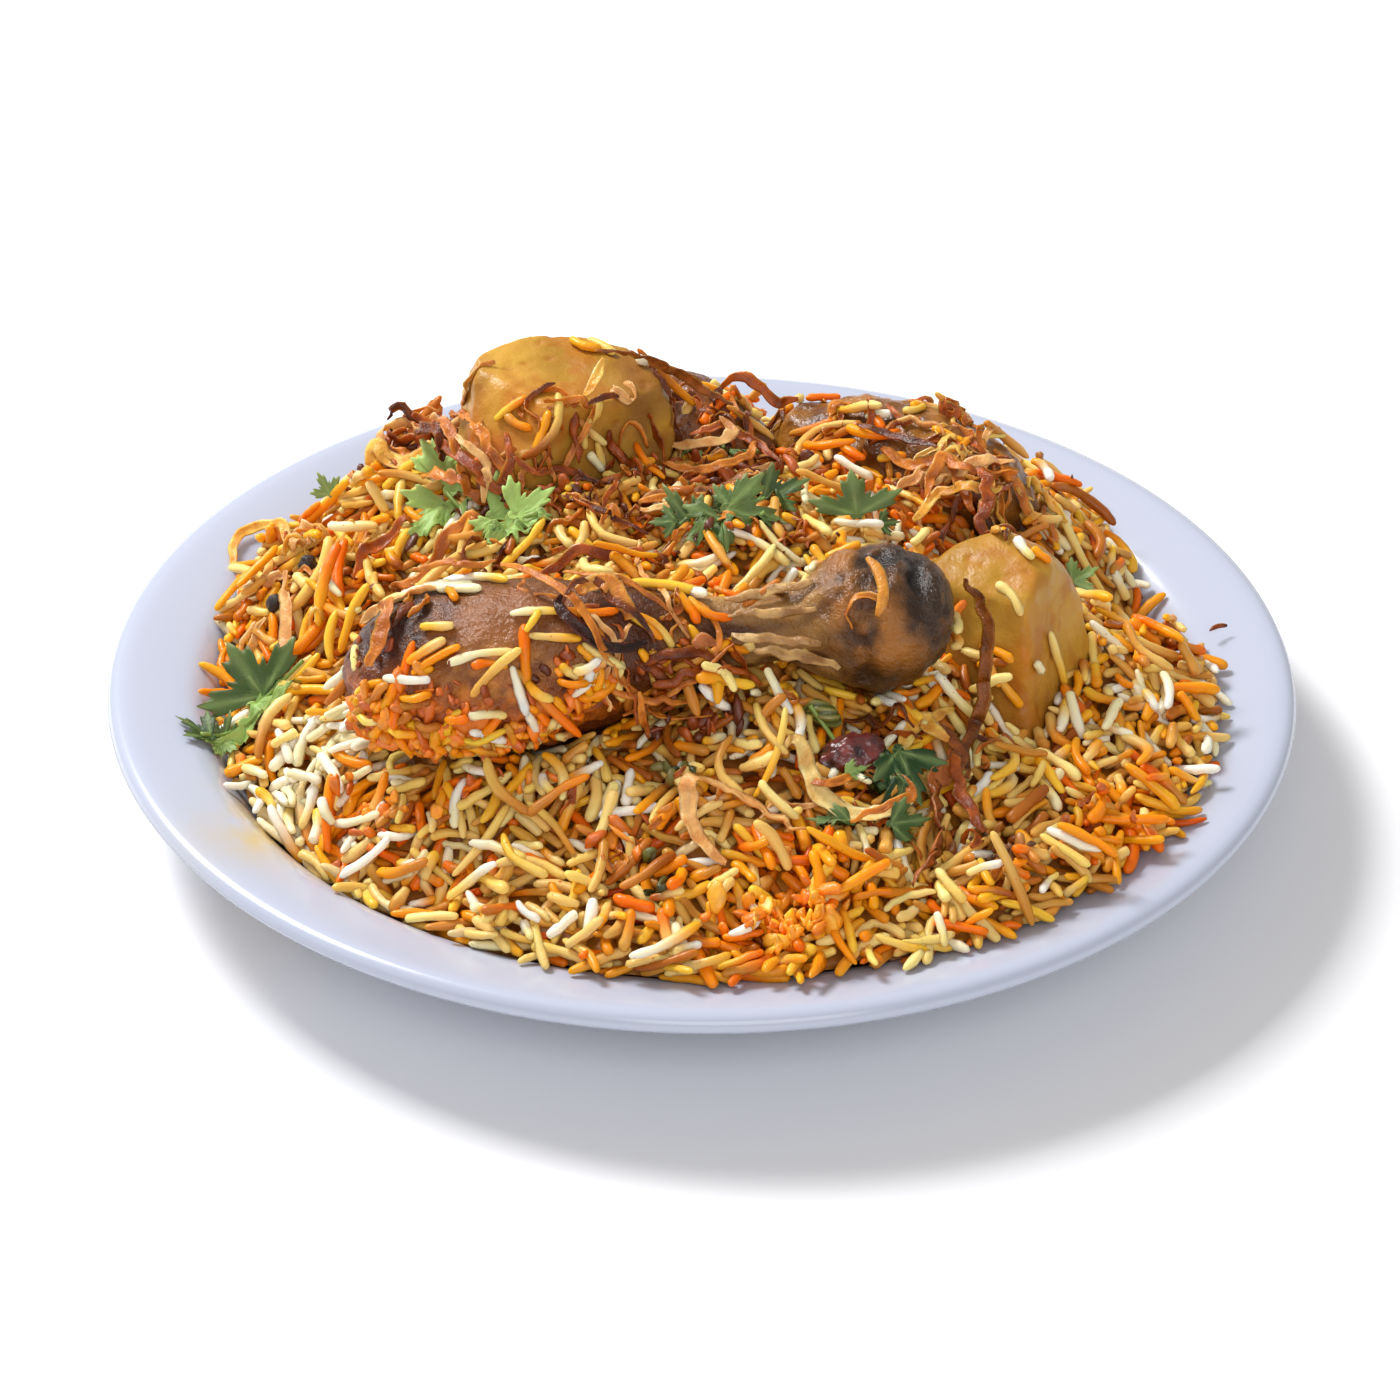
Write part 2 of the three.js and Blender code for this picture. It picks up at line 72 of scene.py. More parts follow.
def noise_at(points, scale, seed=0):
    """Smooth noise from -1 to 1 at points (n, 3), with features of about scale."""
    p = np.asarray(points, float) / scale + 31.7 * seed
    cell = np.floor(p).astype(np.int64)
    f = p - cell
    f = f * f * (3 - 2 * f)
    total = np.zeros(len(p))
    for corner in itertools.product((0, 1), repeat=3):
        c = cell + corner
        mixed = (c[:, 0] * 73856093) ^ (c[:, 1] * 19349663) ^ (c[:, 2] * 83492791) ^ (seed * 2654435761)
        mixed = (mixed ^ (mixed >> 13)) * 1274126177 & 0x7FFFFFFF
        value = ((mixed ^ (mixed >> 16)) & 0xFFFF) / 65535.0
        weight = np.prod(np.where(np.array(corner) == 1, f, 1 - f), axis=1)
        total += weight * value
    return 2 * total - 1


def rough_noise(points, scale, seed=0, octaves=3):
    """Noise with finer and fainter features added to those of about scale."""
    return sum(noise_at(points, scale / 2 ** i, seed + i) / 2 ** i for i in range(octaves))


def patchy(points, scale, seed, contrast):
    """From 0 to 1 in patches of about scale."""
    return np.clip(0.5 + contrast * rough_noise(points, scale, seed), 0, 1)


def smoothstep(low, high, x):
    """From 0 at low to 1 at high, eased."""
    t = np.clip((np.asarray(x, float) - low) / (high - low), 0, 1)
    return t * t * (3 - 2 * t)


def mix(a, b, t):
    """a where t is 0 and b where it is 1."""
    t = np.asarray(t, float)[..., None]
    return np.asarray(a, float) * (1 - t) + np.asarray(b, float) * t


def srgb(r, g, b):
    """Linear colour of an sRGB one given from 0 to 255."""
    c = np.array([r, g, b], float) / 255
    return np.where(c <= 0.04045, c / 12.92, ((c + 0.055) / 1.055) ** 2.4)


def unit(v):
    """v at length 1."""
    return v / np.maximum(np.linalg.norm(v, axis=-1, keepdims=True), 1e-9)


def curve_through(points, count):
    """count points evenly along a Catmull-Rom curve through points."""
    p = np.asarray(points, float)
    p = np.vstack([2 * p[0] - p[1], p, 2 * p[-1] - p[-2]])
    fine = []
    for i in range(1, len(p) - 2):
        t = np.linspace(0, 1, 16, endpoint=False)[:, None]
        a, b, c, d = p[i - 1], p[i], p[i + 1], p[i + 2]
        fine.append(0.5 * (2 * b + (c - a) * t + (2 * a - 5 * b + 4 * c - d) * t ** 2
                           + (3 * b - a - 3 * c + d) * t ** 3))
    fine = np.vstack(fine + [p[-2:-1]])
    along = np.concatenate([[0], np.cumsum(np.linalg.norm(np.diff(fine, axis=0), axis=1))])
    at = np.linspace(0, along[-1], count)
    return np.stack([np.interp(at, along, fine[:, k]) for k in range(3)], axis=1)


# ---------------------------------------------------------------- meshes and materials

def add_mesh(name, vertices, faces, material, tints=None):
    """A mesh object from vertices in millimetres. tints holds a linear colour for each vertex."""
    vertices = np.asarray(vertices, float)
    faces = np.asarray(faces, np.int32)
    mesh = bpy.data.meshes.new(name)
    mesh.vertices.add(len(vertices))
    mesh.vertices.foreach_set("co", (vertices * MM).ravel())
    mesh.loops.add(faces.size)
    mesh.loops.foreach_set("vertex_index", faces.ravel())
    mesh.polygons.add(len(faces))
    mesh.polygons.foreach_set("loop_start", np.arange(0, faces.size, faces.shape[1], dtype=np.int32))
    mesh.update(calc_edges=True)
    mesh.shade_smooth()
    paint(mesh, tints)
    mesh.materials.append(material)
    piece = bpy.data.objects.new(name, mesh)
    bpy.context.scene.collection.objects.link(piece)
    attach(piece, "root")
    return piece


def add_parts(name, parts, material):
    """One mesh object from many parts, each of them vertices, faces and tints."""
    used = np.cumsum([0] + [len(vertices) for vertices, _, _ in parts])
    faces = np.vstack([part[1] + start for part, start in zip(parts, used)])
    return add_mesh(name, np.vstack([part[0] for part in parts]), faces, material,
                    np.vstack([part[2] for part in parts]))


def paint(mesh, tints):
    """Store a linear colour for each vertex."""
    if tints is None:
        return
    colours = np.ones((len(mesh.vertices), 4), np.float32)
    colours[:, :3] = np.clip(tints, 0, 1)
    layer = mesh.color_attributes.get("tint") or mesh.color_attributes.new("tint", "FLOAT_COLOR", "POINT")
    layer.data.foreach_set("color", colours.ravel())


EVEN = (1.0, 0.75, 0.5)  # how far red, green and blue light go inside starch and onion


def material(name, colour=None, bump=(), speckle=None, **sockets):
    """A Principled material. With no colour it takes the mesh's tint. bump holds (size in mm, height
    in mm) pairs of noise; speckle is (size in mm, share, colour)."""
    made = bpy.data.materials.new(name)
    made.use_nodes = True
    nodes, links = made.node_tree.nodes, made.node_tree.links
    shader = nodes["Principled BSDF"]
    for socket, value in sockets.items():
        shader.inputs[socket.replace("_", " ")].default_value = value
    place = nodes.new("ShaderNodeTexCoord").outputs["Object"]

    def noise_of(size, detail):
        """The output of noise with features of this size in millimetres."""
        noise = nodes.new("ShaderNodeTexNoise")
        noise.inputs["Scale"].default_value = 1 / (size * MM)
        noise.inputs["Detail"].default_value = detail
        links.new(place, noise.inputs["Vector"])
        return noise.outputs["Fac"]

    if colour is not None:
        shader.inputs["Base Color"].default_value = (*colour, 1)
    else:
        attribute = nodes.new("ShaderNodeAttribute")
        attribute.attribute_name = "tint"
        source = attribute.outputs["Color"]
        if speckle is not None:
            size, share, spot = speckle
            ramp = nodes.new("ShaderNodeMapRange")
            ramp.inputs["From Min"].default_value = 0.5 + share
            ramp.inputs["From Max"].default_value = 0.56 + share
            links.new(noise_of(size, 2), ramp.inputs["Value"])
            blend = nodes.new("ShaderNodeMix")
            blend.data_type = "RGBA"
            links.new(ramp.outputs["Result"], blend.inputs["Factor"])
            links.new(source, blend.inputs["A"])
            blend.inputs["B"].default_value = (*spot, 1)
            source = blend.outputs["Result"]
        links.new(source, shader.inputs["Base Color"])
    normal = None
    for size, height in bump:
        bumped = nodes.new("ShaderNodeBump")
        bumped.inputs["Strength"].default_value = 1
        bumped.inputs["Distance"].default_value = height * MM
        links.new(noise_of(size, 3), bumped.inputs["Height"])
        if normal is not None:
            links.new(normal, bumped.inputs["Normal"])
        normal = bumped.outputs["Normal"]
    if normal is not None:
        links.new(normal, shader.inputs["Normal"])
        links.new(normal, shader.inputs["Coat Normal"])
    return made


def walls(rings, columns):
    """Triangles between closed rings of points that follow one another."""
    column = np.arange(columns)
    start = np.arange(rings - 1)[:, None] * columns
    a, b = (start + column).ravel(), (start + (column + 1) % columns).ravel()
    return np.vstack([np.stack([a, a + columns, b + columns], 1), np.stack([a, b + columns, b], 1)])


def capped_walls(rings, columns):
    """walls, closed by fans to two middle points that come after the rings: the first ring's, the last's."""
    column = np.arange(columns)
    after = (column + 1) % columns
    middle, last = rings * columns, (rings - 1) * columns
    return np.vstack([np.stack([np.full(columns, middle), column, after], 1), walls(rings, columns),
                      np.stack([np.full(columns, middle + 1), last + after, last + column], 1)])


def tube_faces(rings, columns):
    """Triangles of a tube of rings with flat ends, the other way out from walls."""
    cap = np.array([[0, k + 1, k] for k in range(1, columns - 1)])
    return np.vstack([walls(rings, columns)[:, ::-1], cap, (rings - 1) * columns + cap[:, ::-1]])


# ---------------------------------------------------------------- the frame's nodes as arrays

def node_arrays(name):
    """Vertices in millimetres and triangles of a CAD node."""
    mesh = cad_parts[name].data
    mesh.calc_loop_triangles()
    vertices = np.empty(3 * len(mesh.vertices))
    mesh.vertices.foreach_get("co", vertices)
    triangles = np.empty(3 * len(mesh.loop_triangles), np.int32)
    mesh.loop_triangles.foreach_get("vertices", triangles)
    return vertices.reshape(-1, 3) / MM, triangles.reshape(-1, 3)


def height_map(names, lowest=False):
    """Greatest (or least) z of the nodes in each cell of a square map, NOWHERE where there are none."""
    sign = -1.0 if lowest else 1.0
    heights = np.full((SIDE, SIDE), -np.inf)
    for name in names:
        vertices, triangles = node_arrays(name)
        for a, b, c in vertices[triangles]:
            low = np.floor((np.minimum(np.minimum(a, b), c)[:2] + HALF) / CELL).astype(int)
            high = np.ceil((np.maximum(np.maximum(a, b), c)[:2] + HALF) / CELL).astype(int)
            area = (b[1] - c[1]) * (a[0] - c[0]) + (c[0] - b[0]) * (a[1] - c[1])
            if abs(area) < 1e-9:
                continue
            x, y = np.meshgrid(np.arange(low[0], high[0] + 1) * CELL - HALF,
                               np.arange(low[1], high[1] + 1) * CELL - HALF)
            u = ((b[1] - c[1]) * (x - c[0]) + (c[0] - b[0]) * (y - c[1])) / area
            v = ((c[1] - a[1]) * (x - c[0]) + (a[0] - c[0]) * (y - c[1])) / area
            w = 1 - u - v
            inside = (u > -1e-6) & (v > -1e-6) & (w > -1e-6)
            z = np.where(inside, sign * (u * a[2] + v * b[2] + w * c[2]), -np.inf)
            window = heights[low[1]:high[1] + 1, low[0]:high[0] + 1]
            np.maximum(window, z, out=window)
    return np.where(np.isfinite(heights), sign * heights, NOWHERE)


def cell_of(x, y):
    """Row and column in the height maps."""
    ix = np.clip(np.rint((np.asarray(x) + HALF) / CELL).astype(int), 0, SIDE - 1)
    iy = np.clip(np.rint((np.asarray(y) + HALF) / CELL).astype(int), 0, SIDE - 1)
    return iy, ix


AXIS = np.arange(SIDE) * CELL - HALF
MAP_X, MAP_Y = np.meshgrid(AXIS, AXIS)
MAP_POINTS = np.stack([MAP_X.ravel(), MAP_Y.ravel(), np.zeros(SIDE * SIDE)], axis=1)


def map_noise(scale, seed, octaves=2):
    """rough_noise for every cell of the height maps."""
    return rough_noise(MAP_POINTS, scale, seed, octaves).reshape(SIDE, SIDE)


def blurred(heights, radius):
    """A height map averaged over a square of 2 radius + 1 cells, twice."""
    for _ in range(2):
        for axis in (0, 1):
            total = np.cumsum(np.insert(heights, 0, 0, axis=axis), axis=axis)
            span = 2 * radius + 1
            middle = (np.take(total, range(span, total.shape[axis]), axis=axis)
                      - np.take(total, range(0, total.shape[axis] - span), axis=axis)) / span
            pad = [(radius, radius) if k == axis else (0, 0) for k in (0, 1)]
            heights = np.pad(middle, pad, mode="edge")
    return heights


PIECES = ["drumstick", "back_leg", "thigh", "potato_left", "potato_right"]
CLUMPS = ["onion_clump_left", "onion_clump_right"]
SMALL = ["dried_plum", "cardamom_pod", "peppercorn_1", "peppercorn_2"]

plate_top = height_map(["plate"])
rice_top = height_map(["rice"])
piece_top = height_map(PIECES)
piece_bottom = height_map(PIECES, lowest=True)
small_top = height_map(SMALL)
strip_top = height_map([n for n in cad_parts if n.startswith("onion_") and n not in CLUMPS])
is_rice = rice_top > NOWHERE
is_piece = piece_top > NOWHERE
# Where the onion strips and the small things lie: kept free of loose grains.
is_clear = blurred((np.maximum(strip_top, small_top) > NOWHERE).astype(float), 2) > 0.02


# ---------------------------------------------------------------- plate

def plate_profile():
    """The CAD plate's section at azimuth 0, as (radius, z) from the middle of its top to its underside."""
    vertices, triangles = node_arrays("plate")
    on_section = (np.abs(vertices[:, 1]) < 1e-3) & (vertices[:, 0] > -1e-3)
    points = sorted({(round(float(x), 3), round(float(z), 3)) for x, _, z in vertices[on_section]})
    edges = set()
    key = {i: (round(float(vertices[i, 0]), 3), round(float(vertices[i, 2]), 3))
           for i in np.where(on_section)[0]}
    for triangle in triangles:
        for i, j in itertools.combinations([k for k in triangle if k in key], 2):
            if key[i] != key[j]:
                edges.add(frozenset((key[i], key[j])))
    middle = [p for p in points if p[0] < 1e-3]
    start, stop = max(middle, key=lambda p: p[1]), min(middle, key=lambda p: p[1])
    path, seen = [start], {start}
    while path[-1] != stop:
        onward = [q for e in edges if path[-1] in e for q in e if q not in seen]
        if not onward:
            break
        path.append(min(onward, key=lambda q: math.dist(q, path[-1])))
        seen.add(path[-1])
    return np.array(path)


def build_plate():
    """The plate as smooth rings through the CAD section, with a stain of oil at the front left."""
    profile = plate_profile()
    wide = np.c_[profile[:, 0], np.zeros(len(profile)), profile[:, 1]]
    steps, columns = 150, 256  # from the middle of its top to its underside, and around
    smooth = curve_through(wide, steps)[:, [0, 2]]
    turn = np.arange(columns) / columns * 2 * math.pi
    rings = smooth[1:-1]
    vertices = np.stack([rings[:, :1] * np.cos(turn), rings[:, :1] * np.sin(turn),
                         np.repeat(rings[:, 1:], columns, axis=1)], axis=2).reshape(-1, 3)
    vertices = np.vstack([vertices, [[0, 0, smooth[0, 1]], [0, 0, smooth[-1, 1]]]])
    faces = capped_walls(len(rings), columns)
    stain = np.exp(-((vertices[:, 0] + 88) / 15) ** 2 - ((vertices[:, 1] + 62) / 13) ** 2)
    stain = np.clip(stain * (0.6 + 0.8 * rough_noise(vertices, 9, 44)), 0, 0.75)
    # the plate's pale lavender is partly its own colour and partly painted shade: greyer than white
    # melamine, as the plate lies in shade beside the lit food
    tints = mix(np.tile(srgb(182, 188, 206), (len(vertices), 1)), srgb(206, 176, 84), stain)
    melamine = material("melamine", Roughness=0.22, IOR=1.5,
                        bump=[(26, 0.05)], Subsurface_Weight=0.0, Coat_Weight=0.3, Coat_Roughness=0.12)
    plate = add_mesh("plate_smooth", vertices, faces, melamine, tints)
    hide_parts("plate")


# ---------------------------------------------------------------- rice

def tubes(lines, radii, flat, rolls, columns):
    """One mesh of closed tubes. lines (n, rings, 3) are centre lines, radii (n, rings) their radii;
    flat is the share of height to width, rolls (n,) turns each section."""
    count, rings, _ = lines.shape
    along = unit(np.gradient(lines, axis=1))
    up = np.broadcast_to(np.array([0.0, 0.0, 1.0]), along.shape)
    side = unit(np.cross(along, up) + 1e-6)
    out = np.cross(side, along)
    inner = slice(1, rings - 1)
    turn = np.arange(columns) / columns * 2 * math.pi
    wide, high = np.cos(turn), flat * np.sin(turn)
    level, tilted = np.cos(rolls)[:, None], np.sin(rolls)[:, None]
    across, above = level * wide - tilted * high, tilted * wide + level * high
    body = (lines[:, inner, None, :]
            + radii[:, inner, None, None] * (across[:, None, :, None] * side[:, inner, None, :]
                                             + above[:, None, :, None] * out[:, inner, None, :]))
    vertices = np.concatenate([lines[:, :1], body.reshape(count, -1, 3), lines[:, -1:]], axis=1)
    per = (rings - 2) * columns + 2
    column = np.arange(columns)
    after = (column + 1) % columns
    last = 1 + (rings - 3) * columns
    pattern = np.vstack([np.stack([np.zeros_like(column), 1 + after, 1 + column], 1),
                         1 + walls(rings - 2, columns)[:, ::-1],
                         np.stack([np.full_like(column, per - 1), last + column, last + after], 1)])
    faces = (pattern[None] + per * np.arange(count)[:, None, None]).reshape(-1, 3)
    return vertices.reshape(-1, 3), faces


# Along a grain from -1 to 1: its two tips and the rings between them, closer together near the tips.
RING_AT = np.array([-1, -0.98, -0.9, -0.68, -0.32, 0.0, 0.32, 0.68, 0.9, 0.98, 1])
COARSE = [0, 2, 4, 6, 8, 10]  # the rings kept in grains that hardly show


def grain_radii(half_width, seeds):
    """Radius at each ring of blunt-ended grains, a little uneven along their length."""
    t = RING_AT[None]
    phase = seeds[:, None]
    body = (1 - np.abs(t) ** 9) ** 0.5
    lean = 1 + 0.13 * np.sin(phase) * t
    uneven = 1 + 0.08 * np.sin(4.1 * t + phase) + 0.07 * np.sin(9 * t + 2 * phase)
    return half_width[:, None] * body * uneven * lean


WHITE = [srgb(250, 244, 226), srgb(252, 240, 208), srgb(250, 236, 186)]
YELLOW = [srgb(250, 220, 138), srgb(246, 204, 106), srgb(242, 202, 122)]
GOLDEN = [srgb(246, 172, 30), srgb(240, 154, 24), srgb(248, 190, 56)]
TAN = [srgb(222, 164, 74), srgb(198, 134, 46), srgb(230, 186, 102)]
ORANGE = [srgb(250, 142, 8), srgb(250, 160, 16), srgb(244, 114, 2)]
MASALA = [srgb(184, 108, 30), srgb(160, 84, 18), srgb(200, 130, 46)]
PALETTES = {"white": WHITE, "yellow": YELLOW, "golden": GOLDEN, "tan": TAN, "orange": ORANGE,
            "masala": MASALA}
KINDS = list(PALETTES)

# Where one colour of grain gathers: middle, reach, strength.
PATCHES = {
    "orange": [((-48, -87), 9, 6.0), ((18, -103), 9, 40.0), ((88, -68), 11, 26.0), ((-90, -3), 12, 5.0),
               ((-82, 26), 12, 3.0), ((-12, -98), 7, 5.0), ((98, -70), 9, 6.0), ((-70, -63), 9, 6.0),
               ((36, 24), 10, 5.0), ((-3, -3), 8, 2.0), ((14, -91), 5, 8.0), ((-56, -72), 8, 4.0),
               ((82, -26), 6, 4.0), ((8, 33), 8, 2.0), ((-80, 46), 10, 2.0), ((60, -48), 6, 2.0)],
    "white": [((-84, -56), 13, 60.0), ((-72, -72), 9, 12.0), ((-56, -80), 9, 10.0), ((-34, -84), 8, 5.0),
              ((-20, -76), 10, 3.0), ((-64, 36), 10, 3.0), ((34, 8), 9, 3.0), ((-8, -93), 7, 3.0),
              ((88, -34), 12, 3.0), ((70, -66), 10, 2.5), ((-36, -96), 12, 2.5), ((4, -62), 8, 2.0),
              ((44, -60), 7, 2.0)],
    "golden": [((18, -103), 11, 30.0), ((88, -68), 12, 10.0), ((-92, -12), 16, 5.0), ((-2, -100), 9, 4.0),
               ((-70, 25), 20, 3.0), ((-92, 10), 14, 3.0), ((92, -40), 14, 2.0), ((30, 25), 14, 2.0),
               ((-50, -75), 10, 1.5), ((26, -100), 10, 4.0)],
    "yellow": [((-42, -92), 20, 7.0), ((-26, -78), 9, 4.0), ((-66, -76), 16, 4.0), ((40, -102), 14, 4.0),
               ((72, -57), 13, 2.5), ((-55, 4), 16, 3.5), ((-85, -45), 12, 4.0), ((-70, 30), 16, 3.0),
               ((20, -4), 12, 2.0)],
    "masala": [((0, 30), 20, 6.0), ((-64, 46), 12, 4.0), ((-15, -85), 7, 6.0), ((58, -82), 9, 5.0),
               ((56, 30), 16, 5.0), ((-30, 12), 14, 2.0), ((0, -62), 10, 3.0), ((-50, -70), 9, 3.0),
               ((20, 75), 26, 2.5), ((95, 15), 16, 3.0), ((35, -60), 9, 2.0), ((-16, -68), 8, 2.5)],
    "tan": [((-10, -82), 14, 3.0), ((0, -96), 12, 2.5), ((56, -76), 14, 3.0), ((38, -86), 12, 3.0),
            ((0, 30), 24, 2.5), ((60, 60), 30, 2.5), ((-10, 80), 40, 1.5), ((100, -10), 16, 2.0)],
}
SHARES = {"white": 0.6, "yellow": 1.0, "golden": 0.9, "tan": 1.3, "orange": 0.45, "masala": 0.5}


def kinds_at(places, local):
    """The colour of the grain at each place, as an index in KINDS."""
    places = np.asarray(places, float)
    flat = np.c_[places, np.zeros(len(places))]
    weights = []
    for index, kind in enumerate(KINDS):
        weight = SHARES[kind] * (1 + 0.95 * noise_at(flat, 12, 40 + index))
        for (px, py), reach, strength in PATCHES[kind]:
            squared = (flat[:, 0] - px) ** 2 + (flat[:, 1] - py) ** 2
            weight = weight + strength * np.exp(-squared / reach ** 2)
        weights.append(np.maximum(weight, 0.05))
    share = np.cumsum(np.array(weights).T, axis=1)
    pick = local.random(len(places)) * share[:, -1]
    return (pick[:, None] > share).sum(axis=1)


OPEN_SKY = np.full((SIDE, SIDE), 500.0)  # a ceiling that stops no grain


class Pile:
    """Grains dropped one by one onto a height map, each coming to rest on what lies below it."""

    def __init__(self, surface):
        self.surface = surface
        self.lines, self.radii, self.places = [], [], []

    def drop(self, x, y, yaws, grain, ceiling, settle=0.35, steepest=0.9, over=False):
        """Lay a grain at the one of the yaws in which it lies lowest. over lets it lie on the pieces too."""
        rests = [self.rest(x, y, yaw, grain, ceiling, settle, steepest, over) for yaw in yaws]
        rests = [r for r in rests if r is not None]
        if not rests:
            return False
        px, py, z = min(rests, key=lambda r: r[2].mean())
        half_width = grain[1]
        self.stamp(px, py, z, half_width)
        self.lines.append(np.stack([px, py, z], axis=1))
        self.radii.append(half_width)
        self.places.append((x, y))
        return True

    def rest(self, x, y, yaw, grain, ceiling, settle, steepest, over):
        """Where a grain comes to rest, or None if it would stand above the ceiling or in a piece."""
        length, half_width, sag, hook = grain
        u = RING_AT * length / 2
        bow = sag * (0.4 - RING_AT ** 2) + hook * np.clip(RING_AT, 0, None) ** 2
        px = x + math.cos(yaw) * u - math.sin(yaw) * bow
        py = y + math.sin(yaw) * u + math.cos(yaw) * bow
        cells = cell_of(px, py)
        below = self.surface[cells]
        if (below <= NOWHERE).any():
            return None
        left, right = np.where(u < 0)[0], np.where(u > 0)[0]
        span = u[right][None] - u[left][:, None]
        slope = (below[right][None] - below[left][:, None]) / span
        at_middle = below[left][:, None] - u[left][:, None] * slope
        best = np.unravel_index(np.argmax(at_middle), at_middle.shape)
        tilt = float(np.clip(slope[best], -steepest, steepest))
        base = float(at_middle[best])
        z = base + tilt * u + half_width * (1 - settle)
        # A little towards what lies below, as a soft grain sags
        z = 0.8 * z + 0.2 * np.maximum(z - 1.5, np.minimum(z, below + half_width))
        if z[len(z) // 2] + half_width > ceiling[cell_of(x, y)] or z.max() > ceiling[cells].max() + 2.0:
            return None
        hit = (piece_top[cells] > z - half_width - 0.2) & (piece_bottom[cells] < z + half_width + 0.2)
        if not over and (hit & (piece_top[cells] > NOWHERE)).any():
            return None
        return px, py, z

    def stamp(self, px, py, z, half_width):
        """Raise the surface to the top of a grain whose line is px, py, z."""
        low = np.floor((np.array([px.min(), py.min()]) - half_width + HALF) / CELL).astype(int)
        high = np.ceil((np.array([px.max(), py.max()]) + half_width + HALF) / CELL).astype(int)
        low, high = np.clip(low, 0, SIDE - 1), np.clip(high, 0, SIDE - 1)
        rows, cols = slice(low[1], high[1] + 1), slice(low[0], high[0] + 1)
        x, y = MAP_X[rows, cols][..., None], MAP_Y[rows, cols][..., None]
        squared = (x - px) ** 2 + (y - py) ** 2
        near = squared.argmin(axis=2)
        gap = squared.min(axis=2)
        top = z[near] + np.sqrt(np.clip(half_width ** 2 - gap, 0, None))
        window = self.surface[rows, cols]
        np.maximum(window, np.where(gap < half_width ** 2, top, NOWHERE), out=window)


def random_grain():
    """Length, half width, sideways bow and bent end of a cooked long grain."""
    broken = rng.random() < 0.18
    length = rng.uniform(5, 8) if broken else float(np.clip(rng.normal(12.2, 2.0), 8, 16.5))
    half_width = float(np.clip(rng.normal(1.13, 0.13), 0.86, 1.42))
    sag = rng.normal(0, 0.09 if rng.random() < 0.75 else 0.2) * length
    hook = rng.normal(0, 0.17) * length if rng.random() < 0.35 else 0.0
    return length, half_width, float(np.clip(sag, -0.34 * length, 0.34 * length)), hook


# Where the loose rice stands above the CAD heap: middle, reach, rise.
BANKS = [
    ((-66, -70), (11, 7), 5.0), ((-48, -73), (12, 6), 6.0), ((-30, -70), (12, 6), 4.5),
    ((4, -58), (16, 6), 3.5), ((-72, -50), (5, 12), 4.0), ((-30, -36), (26, 5), 3.0),
    ((8, -36), (22, 6), 3.0), ((-30, 10), (22, 5), 2.0),
]


def fill_rice():
    """Fill the heap with grains from a core up to its uneven outline."""
    target = blurred(np.where(is_rice, rice_top, plate_top), 2)
    target = target + 2.3 * map_noise(15, 3) + 1.2 * map_noise(6, 9)
    for (mx, my), (reach_x, reach_y), rise in BANKS:
        target = target + rise * np.exp(-((MAP_X - mx) / reach_x) ** 2 - ((MAP_Y - my) / reach_y) ** 2)
    core = np.maximum(target - CORE_DEPTH, plate_top + 0.3)
    core = np.where(is_rice, core, plate_top)
    pile = Pile(core.copy())
    edge_grains(pile, FOOT_GRAINS)
    hidden = blurred(is_piece.astype(float), 10) > 0.985
    open_rice = is_rice & ~hidden
    ceiling = np.where(is_rice, target + 1.2, plate_top + 3.2)
    ceiling = np.where(small_top > NOWHERE, small_top - 3.0, ceiling)
    lie_of_grains = 2 * math.pi * map_noise(16, 15)
    for _ in range(FILL_ROUNDS):
        deficit = np.where(open_rice, np.clip(target - pile.surface - 0.3, 0, 4) ** 1.5, 0)
        flat = deficit.ravel()
        if flat.sum() <= 0:
            break
        for pick in rng.choice(flat.size, size=GRAINS_A_ROUND, p=flat / flat.sum()):
            iy, ix = divmod(int(pick), SIDE)
            x, y = AXIS[ix] + rng.uniform(-1, 1), AXIS[iy] + rng.uniform(-1, 1)
            yaw = lie_of_grains[iy, ix] + rng.normal(0, 0.6)
            pile.drop(x, y, (yaw, yaw + 0.9, yaw - 0.9), random_grain(), ceiling)
    return pile, core, open_rice


def top_grains(pile, open_rice, count):
    """Loose grains lying on the finished heap, some of them cocked up."""
    cells = np.argwhere(open_rice & ~is_piece & ~is_clear)
    placed = 0
    while placed < count:
        iy, ix = cells[rng.integers(len(cells))]
        placed += pile.drop(AXIS[ix], AXIS[iy], (rng.uniform(0, math.pi),), random_grain(), OPEN_SKY,
                            settle=0.15, steepest=1.3)


def fill_bare_spots(pile, core, open_rice, rounds):
    """Short grains in the hollows where the core still shows."""
    for _ in range(rounds):
        cells = np.argwhere(open_rice & (pile.surface < core + 0.4) & ~is_clear)
        for iy, ix in cells[rng.integers(len(cells), size=min(500, len(cells) // 4))]:
            _, half_width, _, _ = random_grain()
            grain = (rng.uniform(5, 9), half_width, rng.normal(0, 0.6), 0.0)
            yaw = rng.uniform(0, math.pi)
            pile.drop(AXIS[ix], AXIS[iy], (yaw, yaw + 1, yaw + 2), grain, OPEN_SKY, settle=0.5)


def edge_grains(pile, count):
    """Grains at the foot of the heap, half on the plate."""
    share = blurred(is_rice.astype(float), 5)
    cells = np.argwhere((share > 0.35) & (share < 0.85) & (plate_top > NOWHERE))
    ceiling = plate_top + 6.0
    for iy, ix in cells[rng.integers(len(cells), size=count)]:
        around = math.atan2(AXIS[iy], AXIS[ix]) + math.pi / 2
        yaws = around + rng.normal(0, 0.6, 3)
        pile.drop(AXIS[ix], AXIS[iy], yaws, random_grain(), ceiling, settle=0.2)


